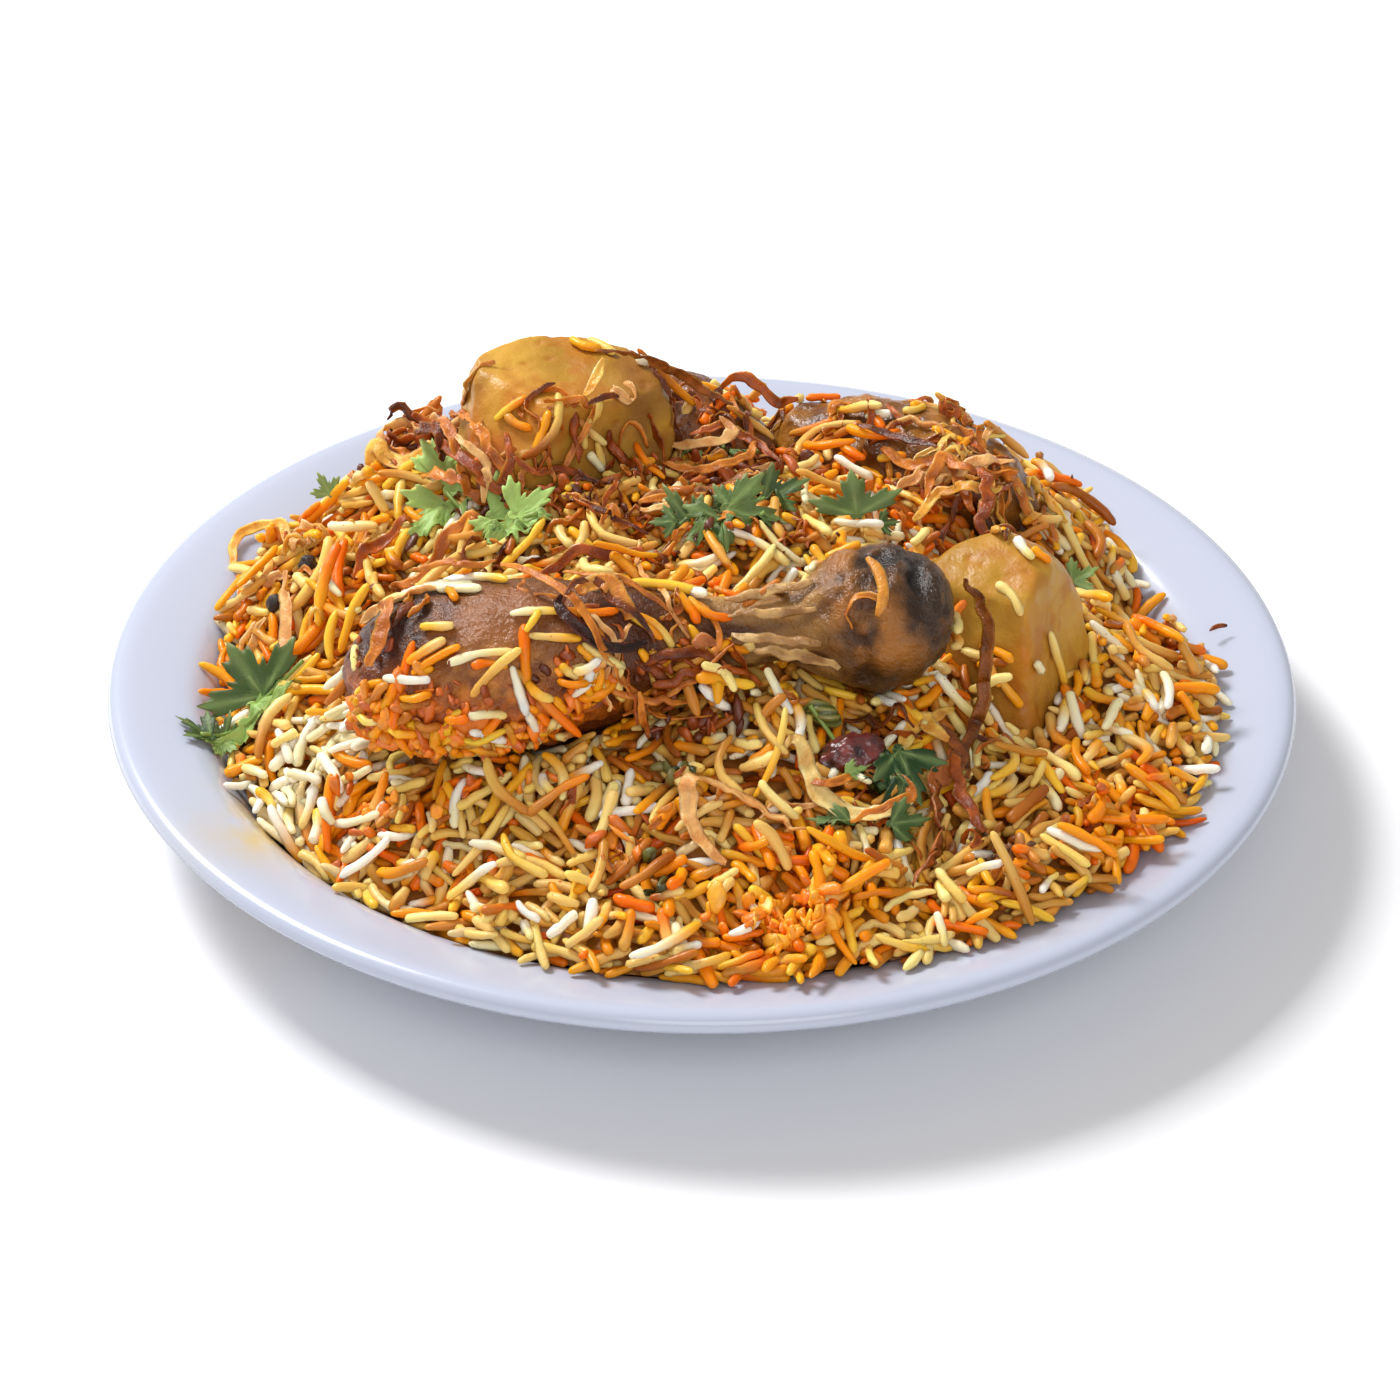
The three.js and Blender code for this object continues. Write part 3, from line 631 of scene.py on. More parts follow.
# Where grains lie over the pieces: middle, spread, how many, heading in degrees, its scatter.
STREWN = [
    ((-20, -60), (7, 4), 5, 0, 45), ((-4, -56), (8, 4), 6, 0, 45), ((-62, -64), (9, 3), 4, 0, 30),
    ((-38, -68), (12, 2), 3, 0, 25), ((2, -44), (14, 4), 5, 0, 35), ((-54, -38), (12, 2), 4, 0, 30),
    ((22, 36), (14, 8), 12, 0, 60), ((6, 46), (12, 8), 12, 0, 60), ((52, 44), (14, 8), 10, 0, 60),
    ((-34, 18), (12, 3), 3, 0, 30), ((58, -4), (8, 4), 4, 0, 50), ((-72, -46), (3, 7), 6, 90, 30),
    ((-30, -29), (30, 2), 12, 0, 30), ((12, -30), (18, 3), 8, 0, 30), ((4, -62), (14, 2), 8, 0, 30),
]


def strew_over_pieces(pile):
    """Grains dropped over the edges of the chicken and the potatoes."""
    loose = Pile(np.maximum(pile.surface, piece_top))
    for middle, spread, count, heading, scatter in STREWN:
        for _ in range(count):
            x, y = np.array(middle) + rng.normal(size=2) * np.array(spread) * 0.7
            yaw = math.radians(heading + rng.normal(0, scatter))
            if not is_clear[cell_of(x, y)]:
                loose.drop(x, y, (yaw, yaw + 0.4), random_grain(), OPEN_SKY, settle=0.3, steepest=1.0,
                           over=True)
    return loose


def grain_tints(kinds, buried, rings, columns, seeds):
    """A colour for each vertex of each grain: even, or going from one colour of its kind to another, and
    the deeper in the heap the darker: painted shade under the grains above, and masala soaking in."""
    count = len(kinds)
    palette = np.array([PALETTES[k] for k in KINDS])
    stain = np.array([PALETTES["golden" if k in ("white", "yellow") else "orange"] for k in KINDS])
    pale = np.array([PALETTES["white" if k == "yellow" else "yellow"] for k in KINDS])
    first = palette[kinds, seeds.integers(0, 3, count)]
    second = palette[kinds, seeds.integers(0, 3, count)]
    chance = seeds.random(count)[:, None]
    second = np.where(chance < 0.24, stain[kinds, seeds.integers(0, 3, count)], second)
    second = np.where(chance > 0.85, pale[kinds, seeds.integers(0, 3, count)], second)
    # painted shade: the deeper a grain lies under the others, the darker and more orange it is; this also
    # stands for masala soaking in
    soaked_and_shaded = 1 - buried[:, None] * np.array([0.3, 0.5, 0.8])
    dull = seeds.uniform(0.88, 1.06, count)[:, None] * soaked_and_shaded
    share = smoothstep(0.25, 0.8, np.linspace(0, 1, rings - 2))
    body = first[:, None, :] * (1 - share[None, :, None]) + second[:, None, :] * share[None, :, None]
    body = np.repeat(body, columns, axis=1)
    tints = np.concatenate([first[:, None], body, second[:, None]], axis=1) * dull[:, None, :]
    return tints.reshape(-1, 3)


def add_grains(name, lines, radii, kinds, buried, stuff, seeds, fine=True):
    """One mesh of grains along the lines."""
    rings = list(range(len(RING_AT))) if fine else COARSE
    columns = GRAIN_COLUMNS if fine else BURIED_COLUMNS
    profile = grain_radii(radii, seeds.uniform(0, 6.28, len(lines)))[:, rings]
    vertices, faces = tubes(lines[:, rings], profile, 0.86, seeds.uniform(-0.7, 0.7, len(lines)), columns)
    tints = grain_tints(kinds, buried, len(rings), columns, seeds)
    return add_mesh(name, vertices, faces, stuff, tints)


def build_rice():
    """The heap in grains, one mesh for each colour, a coarse one for what hardly shows, and the core."""
    pile, core, open_rice = fill_rice()
    fill_bare_spots(pile, core, open_rice, rounds=3)
    edge_grains(pile, LATE_FOOT_GRAINS)
    top_grains(pile, open_rice, TOP_GRAINS)
    lines, radii = np.array(pile.lines), np.array(pile.radii)
    seeds = np.random.default_rng(5)
    kinds = kinds_at(pile.places, seeds)
    cover = pile.surface[cell_of(lines[..., 0], lines[..., 1])] - lines[..., 2]
    buried = smoothstep(1.6, 5.5, np.median(cover, axis=1))
    seen = (cover < SEEN_UNDER).sum(axis=1) >= 2
    under = ~seen & (cover < MADE_UNDER).any(axis=1)
    cooked = material("rice_grain", bump=[(1.0, 0.14)], speckle=(0.9, 0.2, srgb(190, 110, 30)),
                      Roughness=0.36, IOR=1.4, Subsurface_Weight=0.5, Subsurface_Scale=0.003,
                      Subsurface_Radius=EVEN, Specular_IOR_Level=0.3, Coat_Weight=0.1, Coat_Roughness=0.12)
    for index, kind in enumerate(KINDS):
        mine = seen & (kinds == index)
        add_grains("rice_" + kind, lines[mine], radii[mine], kinds[mine], buried[mine], cooked, seeds)
    add_grains("rice_below", lines[under], radii[under], kinds[under], buried[under], cooked, seeds,
               fine=False)
    loose = strew_over_pieces(pile)
    kinds = kinds_at(loose.places, seeds)
    orange = seeds.random(len(kinds)) < 0.25
    kinds = np.where(orange, KINDS.index("orange"), kinds)
    add_grains("rice_strewn", np.array(loose.lines), np.array(loose.radii), kinds, np.zeros(len(kinds)),
               cooked, seeds)
    build_core(core)
    return pile, loose, cooked


def build_core(core):
    """What lies under the loose grains: a smaller closed heap with grain-sized relief, its dark colour
    painted shade for the gaps between the grains.
    """
    rings, columns = 90, 240
    turn = np.arange(columns) / columns * 2 * math.pi
    out, bearing = np.hypot(MAP_X[is_rice], MAP_Y[is_rice]), np.arctan2(MAP_Y[is_rice], MAP_X[is_rice])
    edge = np.array([max(out[np.abs(np.angle(np.exp(1j * (bearing - a)))) < 0.02]) for a in turn])
    share = (np.arange(1, rings + 1) / rings)[:, None]
    reach = share * (edge - 1)  # a millimetre inside the heap's outline
    x, y = reach * np.cos(turn), reach * np.sin(turn)
    z = core[cell_of(x, y)]
    points = np.stack([x, y, z], axis=2).reshape(-1, 3)
    relief = 0.9 * rough_noise(points, 3.2, 60)
    floor = plate_top[cell_of(points[:, 0], points[:, 1])] + 0.1
    points[:, 2] = np.maximum(points[:, 2] + relief, floor)
    middle = np.array([[0, 0, core[cell_of(0, 0)]], [0, 0, plate_top[cell_of(0, 0)] + 0.1]])
    vertices = np.vstack([points, middle])
    faces = capped_walls(rings, columns)
    # painted shade: the core's dark orange-brown stands for the shade in the gaps between the grains, over
    # the rice's own colour
    tints = mix(srgb(126, 66, 8), srgb(214, 140, 38), patchy(vertices, 9, 70, 0.5))
    soaked_and_shaded = material("rice_core", bump=[(2.4, 0.5)], Roughness=0.5, Subsurface_Weight=0.1,
                      Subsurface_Scale=0.002)
    heap = add_mesh("rice_core", vertices, faces, soaked_and_shaded, tints)
    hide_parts("rice")


# ---------------------------------------------------------------- chicken and potato

def detailed(node, voxel, smoothing, subdivide=0):
    """Vertices, faces and normals of a CAD node as an even fine mesh, in millimetres: voxel is the size
    of its faces, smoothing and subdivide are counts of rounds."""
    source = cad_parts[node]
    copy = bpy.data.objects.new("copy", source.data.copy())
    bpy.context.scene.collection.objects.link(copy)
    weld = copy.modifiers.new("weld", "WELD")
    weld.merge_threshold = 0.00002
    if subdivide:
        finer = copy.modifiers.new("finer", "SUBSURF")
        finer.levels = subdivide
    even = copy.modifiers.new("even", "REMESH")
    even.mode = "VOXEL"
    even.voxel_size = voxel * MM
    rounded = copy.modifiers.new("rounded", "SMOOTH")
    rounded.factor = 0.5
    rounded.iterations = smoothing
    bpy.context.view_layer.update()
    result = copy.evaluated_get(bpy.context.evaluated_depsgraph_get()).to_mesh()
    vertices = np.empty(3 * len(result.vertices))
    result.vertices.foreach_get("co", vertices)
    normals = np.empty(3 * len(result.vertices))
    result.vertex_normals.foreach_get("vector", normals)
    result.calc_loop_triangles()
    faces = np.empty(3 * len(result.loop_triangles), np.int32)
    result.loop_triangles.foreach_get("vertices", faces)
    data = copy.data
    copy.to_mesh_clear()
    bpy.data.objects.remove(copy)
    bpy.data.meshes.remove(data)
    return vertices.reshape(-1, 3) / MM, faces.reshape(-1, 3), normals.reshape(-1, 3)


SURFACES = {}  # the detailed pieces, for what lies on them


def remember(name, vertices, faces):
    """Keep the surface of a piece for what clings to it."""
    SURFACES[name] = BVHTree.FromPolygons([tuple(v) for v in vertices], [tuple(f) for f in faces])


def near_to(vertices, middle, reach):
    """1 at the middle, falling to 0 with the reach along each axis."""
    return np.exp(-(((vertices - np.array(middle)) / np.array(reach)) ** 2).sum(1))


def build_drumstick():
    """Browned skin over the meat, torn to tendons at the shank, and a dark knuckle with a gap at its top.
    A painted highlight and painted sheen lie on the thick end, and painted shade under it, at the knuckle's
    bottom and in the gap.
    """
    vertices, faces, normals = detailed("drumstick", voxel=0.75, smoothing=6, subdivide=2)
    ends = vertices[[vertices[:, 0].argmin(), vertices[:, 0].argmax()]]
    length = np.linalg.norm(ends[1] - ends[0])
    station = (vertices - ends[0]) @ unit(ends[1] - ends[0]) / length
    meat = 1 - smoothstep(0.5, 0.6, station)
    knuckle = smoothstep(0.76, 0.84, station)
    shank = (1 - meat) * (1 - knuckle)
    fibres = noise_at(vertices * np.array([0.22, 1, 1]), 2.6, 5)
    folds = noise_at(vertices * np.array([1, 0.45, 0.45]), 4.2, 14)
    wrinkles = rough_noise(vertices, 5, 12)
    crust = np.clip(1.3 * near_to(vertices, (-60, -66, 50), (22, 12, 10))
                    + 0.9 * near_to(vertices, (-30, -68, 50), (16, 10, 9)), 0, 1)
    crumbly = np.clip(0.3 + rough_noise(vertices, 3.2, 17), 0, 1)
    offset = (0.9 * rough_noise(vertices, 13, 1) * meat + 0.25 * rough_noise(vertices, 2.4, 8)
              + (1.1 * fibres - 0.5) * shank + (0.9 * wrinkles + 0.6 * folds) * knuckle
              + 1.8 * crust * crumbly)
    gap = near_to(vertices, (37, -41, 81), (4, 4, 5)) + 0.6 * near_to(vertices, (44, -44, 77), (2, 7, 4))
    offset -= 3.0 * gap
    vertices = vertices + normals * offset[:, None]

    blotch = patchy(vertices, 14, 20, 0.7)
    fine = patchy(vertices, 3, 23, 0.9)
    skin = mix(srgb(82, 36, 8), srgb(134, 76, 26), blotch)
    skin = mix(skin, srgb(62, 26, 6), 0.7 * fine)
    # painted highlight: a lighter patch on the top of the thick end
    skin = mix(skin, srgb(156, 94, 42),
               np.clip(1.1 * near_to(vertices, (-44, -54, 75), (14, 10, 9)), 0, 0.6))
    # painted sheen: golden speckles along the front of the thick end
    skin = mix(skin, srgb(226, 150, 50),
               np.clip(0.9 * near_to(vertices, (-40, -66, 64), (16, 6, 6)), 0, 0.6) * fine)
    scorch = (near_to(vertices, (-64, -50, 68), (11, 12, 11))
              + 0.6 * near_to(vertices, (-70, -56, 60), (6, 10, 10)))
    skin = mix(skin, srgb(44, 20, 18), np.clip(1.7 * scorch * (0.45 + fine), 0, 0.92))
    skin = mix(skin, mix(srgb(132, 56, 8), srgb(222, 116, 10), crumbly), np.clip(1.2 * crust, 0, 0.95))
    torn = mix(srgb(84, 46, 12), srgb(188, 140, 76), np.clip(0.5 + 0.9 * fibres, 0, 1))
    skin = mix(skin, torn, shank)
    bone = mix(srgb(64, 34, 6), srgb(160, 100, 32), np.clip(0.5 + 0.9 * wrinkles, 0, 1))
    charred = smoothstep(36, 46, vertices[:, 0] + 0.5 * (vertices[:, 2] - 72))
    bone = mix(bone, srgb(44, 25, 8), np.clip(charred * (0.65 + 0.5 * fine), 0, 0.95))
    # painted shade: the knuckle darker towards its bottom
    bone = mix(bone, srgb(60, 38, 16), np.clip(smoothstep(66, 58, vertices[:, 2]) * 0.8, 0, 1))
    # painted shade: near-black in the hollow of the gap
    bone = mix(bone, srgb(20, 12, 8), np.clip(2.0 * gap, 0, 0.95))
    skin = mix(skin, bone, knuckle)
    # painted shade: the skin darker towards the bottom, under the drumstick
    underside = smoothstep(60, 46, vertices[:, 2])
    skin = mix(skin, srgb(92, 38, 8), 0.75 * underside * (1 - knuckle) * (1 - crust))
    glossy = material("drumstick_skin", bump=[(0.4, 0.2), (1.0, 0.45), (2.4, 0.4)], Roughness=0.34,
                      IOR=1.45, Subsurface_Weight=0.08, Subsurface_Scale=0.002, Specular_IOR_Level=0.4,
                      Coat_Weight=0.2, Coat_Roughness=0.08)
    piece = add_mesh("drumstick_meat", vertices, faces, glossy, skin)
    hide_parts("drumstick")
    remember("drumstick", vertices, faces)


def build_skin_piece(node, seed, dark, light, lump):
    """Dark meat or skin, bumpy and glossy."""
    vertices, faces, normals = detailed(node, voxel=0.9, smoothing=6, subdivide=2)
    bumps = 0.5 * np.clip(noise_at(vertices, 2.4, seed), -0.2, 1)
    offset = lump * rough_noise(vertices, 9, seed + 2) + bumps
    vertices = vertices + normals * offset[:, None]
    tone = patchy(vertices, 7, seed + 4, 0.8)
    tints = mix(dark, light, tone)
    tints = mix(tints, srgb(74, 36, 8), 0.8 * np.clip(rough_noise(vertices, 4, seed + 6), 0, 1))
    skin = material(node + "_skin", bump=[(0.8, 0.3), (2.4, 0.35)], Roughness=0.33, IOR=1.45,
                    Subsurface_Weight=0.1, Subsurface_Scale=0.002, Specular_IOR_Level=0.4,
                    Coat_Weight=0.25, Coat_Roughness=0.1)
    piece = add_mesh(node + "_meat", vertices, faces, skin, tints)
    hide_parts(node)
    remember(node, vertices, faces)


# Where oil and masala stain the potatoes, and painted shade on the left piece's right face and the right
# piece's lower part: middle, reach, colour, strength.
LEFT_STAINS_AND_SHADE = [
    ((-48, 20, 66), (9, 10, 12), srgb(178, 92, 14), 1.0),
    # painted shade: the darker right face
    ((-12, 26, 68), (9, 12, 16), srgb(140, 96, 40), 1.0),
    ((-30, 14, 52), (24, 8, 8), srgb(128, 66, 18), 1.0),
    ((-40, 22, 76), (10, 8, 4), srgb(206, 122, 26), 0.7),
    # painted shade: the darker right face, low down
    ((-20, 18, 62), (9, 8, 10), srgb(150, 106, 50), 0.9),
    ((-14, 40, 80), (8, 10, 5), srgb(122, 66, 20), 0.9),
    ((-52, 30, 78), (4, 8, 5), srgb(120, 62, 18), 0.8),
    ((-28, 20, 70), (9, 8, 6), srgb(160, 92, 20), 0.7),
]
RIGHT_STAINS_AND_SHADE = [
    ((67, -38, 54), (4, 8, 8), srgb(210, 120, 18), 0.8),
    ((76, -32, 60), (5, 6, 12), srgb(178, 112, 26), 0.6),
    # painted shade: darker towards the bottom
    ((50, -30, 44), (9, 12, 16), srgb(150, 96, 34), 0.8),
    # painted shade: darker towards the bottom
    ((66, -40, 36), (16, 8, 7), srgb(168, 98, 26), 0.7),
    ((60, -20, 68), (9, 9, 4), srgb(196, 140, 48), 0.6),
]


def build_potato(node, seed, smoothing, marks):
    """A piece of boiled potato with a fibrous cut face, spots of oil and masala, and painted shade on its
    shaded side.
    """
    vertices, faces, normals = detailed(node, voxel=0.8, smoothing=smoothing)
    streaks = noise_at(vertices * np.array([1, 1, 0.25]), 2.2, seed + 9)
    offset = (0.6 * rough_noise(vertices, 12, seed) + 0.16 * noise_at(vertices, 2.2, seed + 3)
              + 0.07 * streaks)
    pits = np.clip(noise_at(vertices, 3.0, seed + 11) - 0.55, 0, 1)
    vertices = vertices + normals * (offset - 1.2 * pits)[:, None]
    tone = patchy(vertices, 14, seed + 5, 0.6)
    tints = mix(srgb(166, 120, 32), srgb(204, 156, 58), tone)
    tints = mix(tints, srgb(176, 112, 34), np.clip(0.35 * streaks + 2.5 * pits, 0, 0.7))
    uneven = 0.75 + 0.6 * rough_noise(vertices, 6, seed + 7)
    for middle, reach, colour, strength in marks:
        mark_weight = strength * near_to(vertices, middle, reach) * uneven
        tints = mix(tints, colour, np.clip(mark_weight, 0, 0.95))
    edge = smoothstep(0.25, 0.6, rough_noise(vertices, 7, seed + 13))
    tints = mix(tints, srgb(170, 92, 22), 0.4 * edge)
    flesh = material(node + "_flesh", bump=[(0.6, 0.08), (1.4, 0.2), (5.0, 0.3)],
                     speckle=(0.9, 0.24, srgb(150, 84, 22)), Roughness=0.45, IOR=1.4,
                     Subsurface_Weight=0.3, Subsurface_Scale=0.004, Subsurface_Radius=EVEN,
                     Specular_IOR_Level=0.35, Coat_Weight=0.1, Coat_Roughness=0.2)
    piece = add_mesh(node + "_boiled", vertices, faces, flesh, tints)
    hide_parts(node)
    remember(node, vertices, faces)


# ---------------------------------------------------------------- fried onion

def centre_line(node, count=12):
    """Points along the middle of a strip and its usual half width, by way of its longest path."""
    vertices, triangles = node_arrays(node)
    keys = {}
    index = np.array([keys.setdefault(tuple(np.round(v, 2)), len(keys)) for v in vertices])
    points = np.zeros((len(keys), 3))
    points[index] = vertices
    edges = {frozenset((int(index[i]), int(index[j]))) for t in triangles
             for i, j in itertools.combinations(t, 2) if index[i] != index[j]}
    pairs = np.array([sorted(e) for e in edges])
    lengths = np.linalg.norm(points[pairs[:, 0]] - points[pairs[:, 1]], axis=1)

    def distances(start):
        """How far each point is from the start along the edges."""
        far = np.full(len(points), np.inf)
        far[start] = 0
        for _ in range(len(points)):
            before = far.copy()
            np.minimum.at(far, pairs[:, 0], before[pairs[:, 1]] + lengths)
            np.minimum.at(far, pairs[:, 1], before[pairs[:, 0]] + lengths)
            if np.allclose(before, far, equal_nan=True):
                break
        return np.where(np.isfinite(far), far, 0)

    start = int(distances(0).argmax())
    away = distances(start)
    share = away / away.max()
    line, widths = [], []
    for k in range(count):
        near = np.exp(-((share - k / (count - 1)) / 0.045) ** 2) + 1e-9
        middle = (points * near[:, None]).sum(0) / near.sum()
        line.append(middle)
        spread = np.sqrt(((points - middle) ** 2).sum(1) * near).sum() / near.sum()
        widths.append(spread)
    line[0], line[-1] = points[start], points[int(away.argmax())]
    return np.array(line), float(np.median(widths))


def ribbon(path, width, seed, facing=(0, 0, 1), thickness=0.45, crinkle=0.35, cup=0.3, turns=0.0):
    """A strip of fried onion along path: crinkled, cupped across, thick at its edges, uneven in width."""
    rings = max(10, int(np.linalg.norm(np.diff(path, axis=0), axis=1).sum() / 0.9))
    line = curve_through(path, rings)
    sway = np.stack([noise_at(line + 20 * k, 2.4, (seed + k) % 91) for k in range(3)], axis=1)
    line = line + 1.5 * crinkle * sway
    along = unit(np.gradient(line, axis=0))
    side = unit(np.cross(along, np.broadcast_to(np.asarray(facing, float), along.shape)) + 1e-6)
    for _ in range(3):
        side[1:-1] = unit(side[:-2] + side[1:-1] + side[2:])
    out = np.cross(side, along)
    t = np.linspace(0, 1, rings)
    angle = (turns * 2 * math.pi * t)[:, None]
    side, out = np.cos(angle) * side + np.sin(angle) * out, np.cos(angle) * out - np.sin(angle) * side
    taper = np.clip(np.sin(math.pi * np.clip(t, 0.02, 0.98)) ** 0.35, 0.15, 1)
    local = np.random.default_rng(seed)
    shift = local.uniform(0, 50)
    half = width / 2 * taper * (1 + 0.22 * noise_at(np.c_[t * 9 + shift, t * 0, t * 0], 1.0, seed % 97))
    across = np.array([-1, -0.6, 0, 0.6, 1, 0.6, 0, -0.6])
    lift = np.array([0, 0.5, 0.42, 0.5, 0, -0.5, -0.42, -0.5])
    wave = noise_at(np.c_[t * rings * 0.28 + shift, t * 0 + 3, t * 0], 1.0, (seed + 7) % 97)
    edge = noise_at(np.c_[t * rings * 0.5 + shift, t * 0 + 9, t * 0], 1.0, (seed + 11) % 97)
    ripple = wave[:, None] * (1 - np.abs(across)) + edge[:, None] * across
    rise = thickness * lift[None] + cup * half[:, None] * across[None] ** 2 + crinkle * ripple
    body = (line[:, None] + side[:, None] * (half[:, None] * across)[..., None]
            + out[:, None] * rise[..., None])
    columns = len(across)
    vertices = body.reshape(-1, 3)
    return vertices, tube_faces(rings, columns), np.repeat(t, columns), np.tile(np.abs(across), rings)


GOLD = [srgb(238, 186, 88), srgb(204, 132, 40)]
BROWN = [srgb(216, 130, 44), srgb(152, 76, 18)]
RED = [srgb(178, 88, 26), srgb(114, 46, 8)]
DARK = [srgb(122, 56, 16), srgb(58, 24, 6)]
TAWNY = [srgb(236, 182, 116), srgb(196, 124, 60)]
BURNT = [srgb(60, 26, 14), srgb(30, 14, 8)]


class Strips:
    """Gathers ribbons of fried onion into one mesh."""

    def __init__(self):
        self.parts, self.used = [], 0

    def add(self, path, width, colours, seed, **form):
        """Add a ribbon, in two colours that go into one another."""
        vertices, faces, t, rim = ribbon(np.asarray(path, float), width, seed, **form)
        patch = patchy(vertices, 2.6, seed % 89, 1.2)
        tints = mix(colours[0], colours[1], np.clip(0.25 * t + 0.75 * patch, 0, 1))
        streak = 0.5 + 0.5 * noise_at(vertices, 0.8, (seed + 3) % 89)
        tints = tints * (0.88 + 0.3 * streak + 0.12 * rim ** 2)[:, None]
        self.parts.append((vertices, faces, tints))
        self.used += len(vertices)

    def build(self, name, stuff):
        """The mesh object of all the ribbons."""
        return add_parts(name, self.parts, stuff)


# CAD strip, its colours, crinkle, twist, the way it faces, and its greatest width
CAD_STRIPS = {
    "onion_loop": (TAWNY, 0.5, 0.1, (0, 0, 1), 3.8),
    "onion_gold": ([srgb(248, 218, 146), srgb(214, 162, 82)], 0.35, 0.0, (0, -0.3, 1), 4.2),
    "onion_red": ([srgb(178, 100, 46), srgb(88, 36, 8)], 0.9, 0.3, (0, -0.4, 1), 5.0),
    "onion_dark": (DARK, 0.3, 0.0, (0, 0, 1), 2.4),
    "onion_end": (BROWN, 0.5, 0.1, (-0.2, -0.4, 1), 4.4),
    "onion_curl": (BURNT, 0.4, 0.0, (0, -0.7, 0.7), 2.6),
    "onion_across": (BROWN, 0.25, 0.2, (0, -0.8, 0.6), 2.0),
    "onion_band": (RED, 0.3, 0.0, (0, -0.8, 0.6), 3.0),
    "onion_hanging": ([srgb(136, 74, 16), srgb(70, 30, 2)], 0.8, 0.1, (0.2, -1, 0.4), 3.0),
    "onion_twist": (DARK, 0.6, 0.6, (0, -0.5, 1), 3.2),
    "onion_arch": ([srgb(160, 96, 44), srgb(96, 48, 16)], 0.5, 0.4, (0, -0.6, 1), 2.4),
    "onion_strip": ([srgb(188, 122, 66), srgb(120, 64, 26)], 0.5, 0.2, (0, -0.5, 1), 3.0),
    "onion_tan": (GOLD, 0.3, 0.0, (0, -0.4, 1), 4.4),
    "onion_left": (BROWN, 0.4, 0.1, (0, -0.4, 1), 3.0),
    "onion_far_left": (RED, 0.4, 0.1, (0, -0.4, 1), 3.0),
    "onion_rim_loop": (GOLD, 0.3, 0.0, (0, -0.7, 0.7), 2.6),
    "onion_side": (TAWNY, 0.4, 0.1, (-0.3, 0, 1), 4.4),
    "onion_back_curl": (RED, 0.3, 0.0, (0, -1, 0.5), 2.6),
}


def onion_material():
    """Thin, glossy, slightly translucent."""
    return material("fried_onion_skin", bump=[(0.5, 0.22), (1.8, 0.35)],
                    Roughness=0.32, IOR=1.45, Subsurface_Weight=0.35, Subsurface_Scale=0.002,
                    Subsurface_Radius=EVEN, Specular_IOR_Level=0.3, Coat_Weight=0.16,
                    Coat_Roughness=0.08)


def clear_of(line, ground, gap):
    """The line raised smoothly until it lies gap above the ground wherever no piece is under it."""
    cells = cell_of(line[:, 0], line[:, 1])
    short = np.where(is_piece[cells], 0, np.clip(ground[cells] + gap - line[:, 2], 0, None))
    eased = short.copy()
    for _ in range(2):
        eased[1:-1] = np.maximum(short[1:-1], (eased[:-2] + eased[1:-1] + eased[2:]) / 3)
    outward = np.where(is_piece[cells], 1.2, 0.0)[:, None] * np.array([0, -0.6, 0.8])
    return line + eased[:, None] * np.array([0, 0, 1]) + outward


def build_onion(ground, heap_top):
    """All the fried onion: the CAD model's strips and clumps, then shreds, torn fibres and strands."""
    stuff = onion_material()
    for index, (node, (colours, crinkle, turns, facing, widest)) in enumerate(CAD_STRIPS.items()):
        line, width = centre_line(node)
        strip = Strips()
        strip.add(clear_of(line, heap_top, 1.0), min(max(2.0, 1.9 * width), widest), colours,
                  100 + index, facing=facing, crinkle=crinkle, turns=turns, cup=0.4)
        piece = strip.build(node + "_fried", stuff)
        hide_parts(node)
    build_clumps(stuff)
    build_shreds(stuff, ground)
    build_strands("torn_bits", TORN_BITS, 700, stuff, "chicken", cup=-0.15, thickness=0.4)
    build_strands("onion_strands", STRANDS, 800, stuff, "fried_onion", cup=0.4)


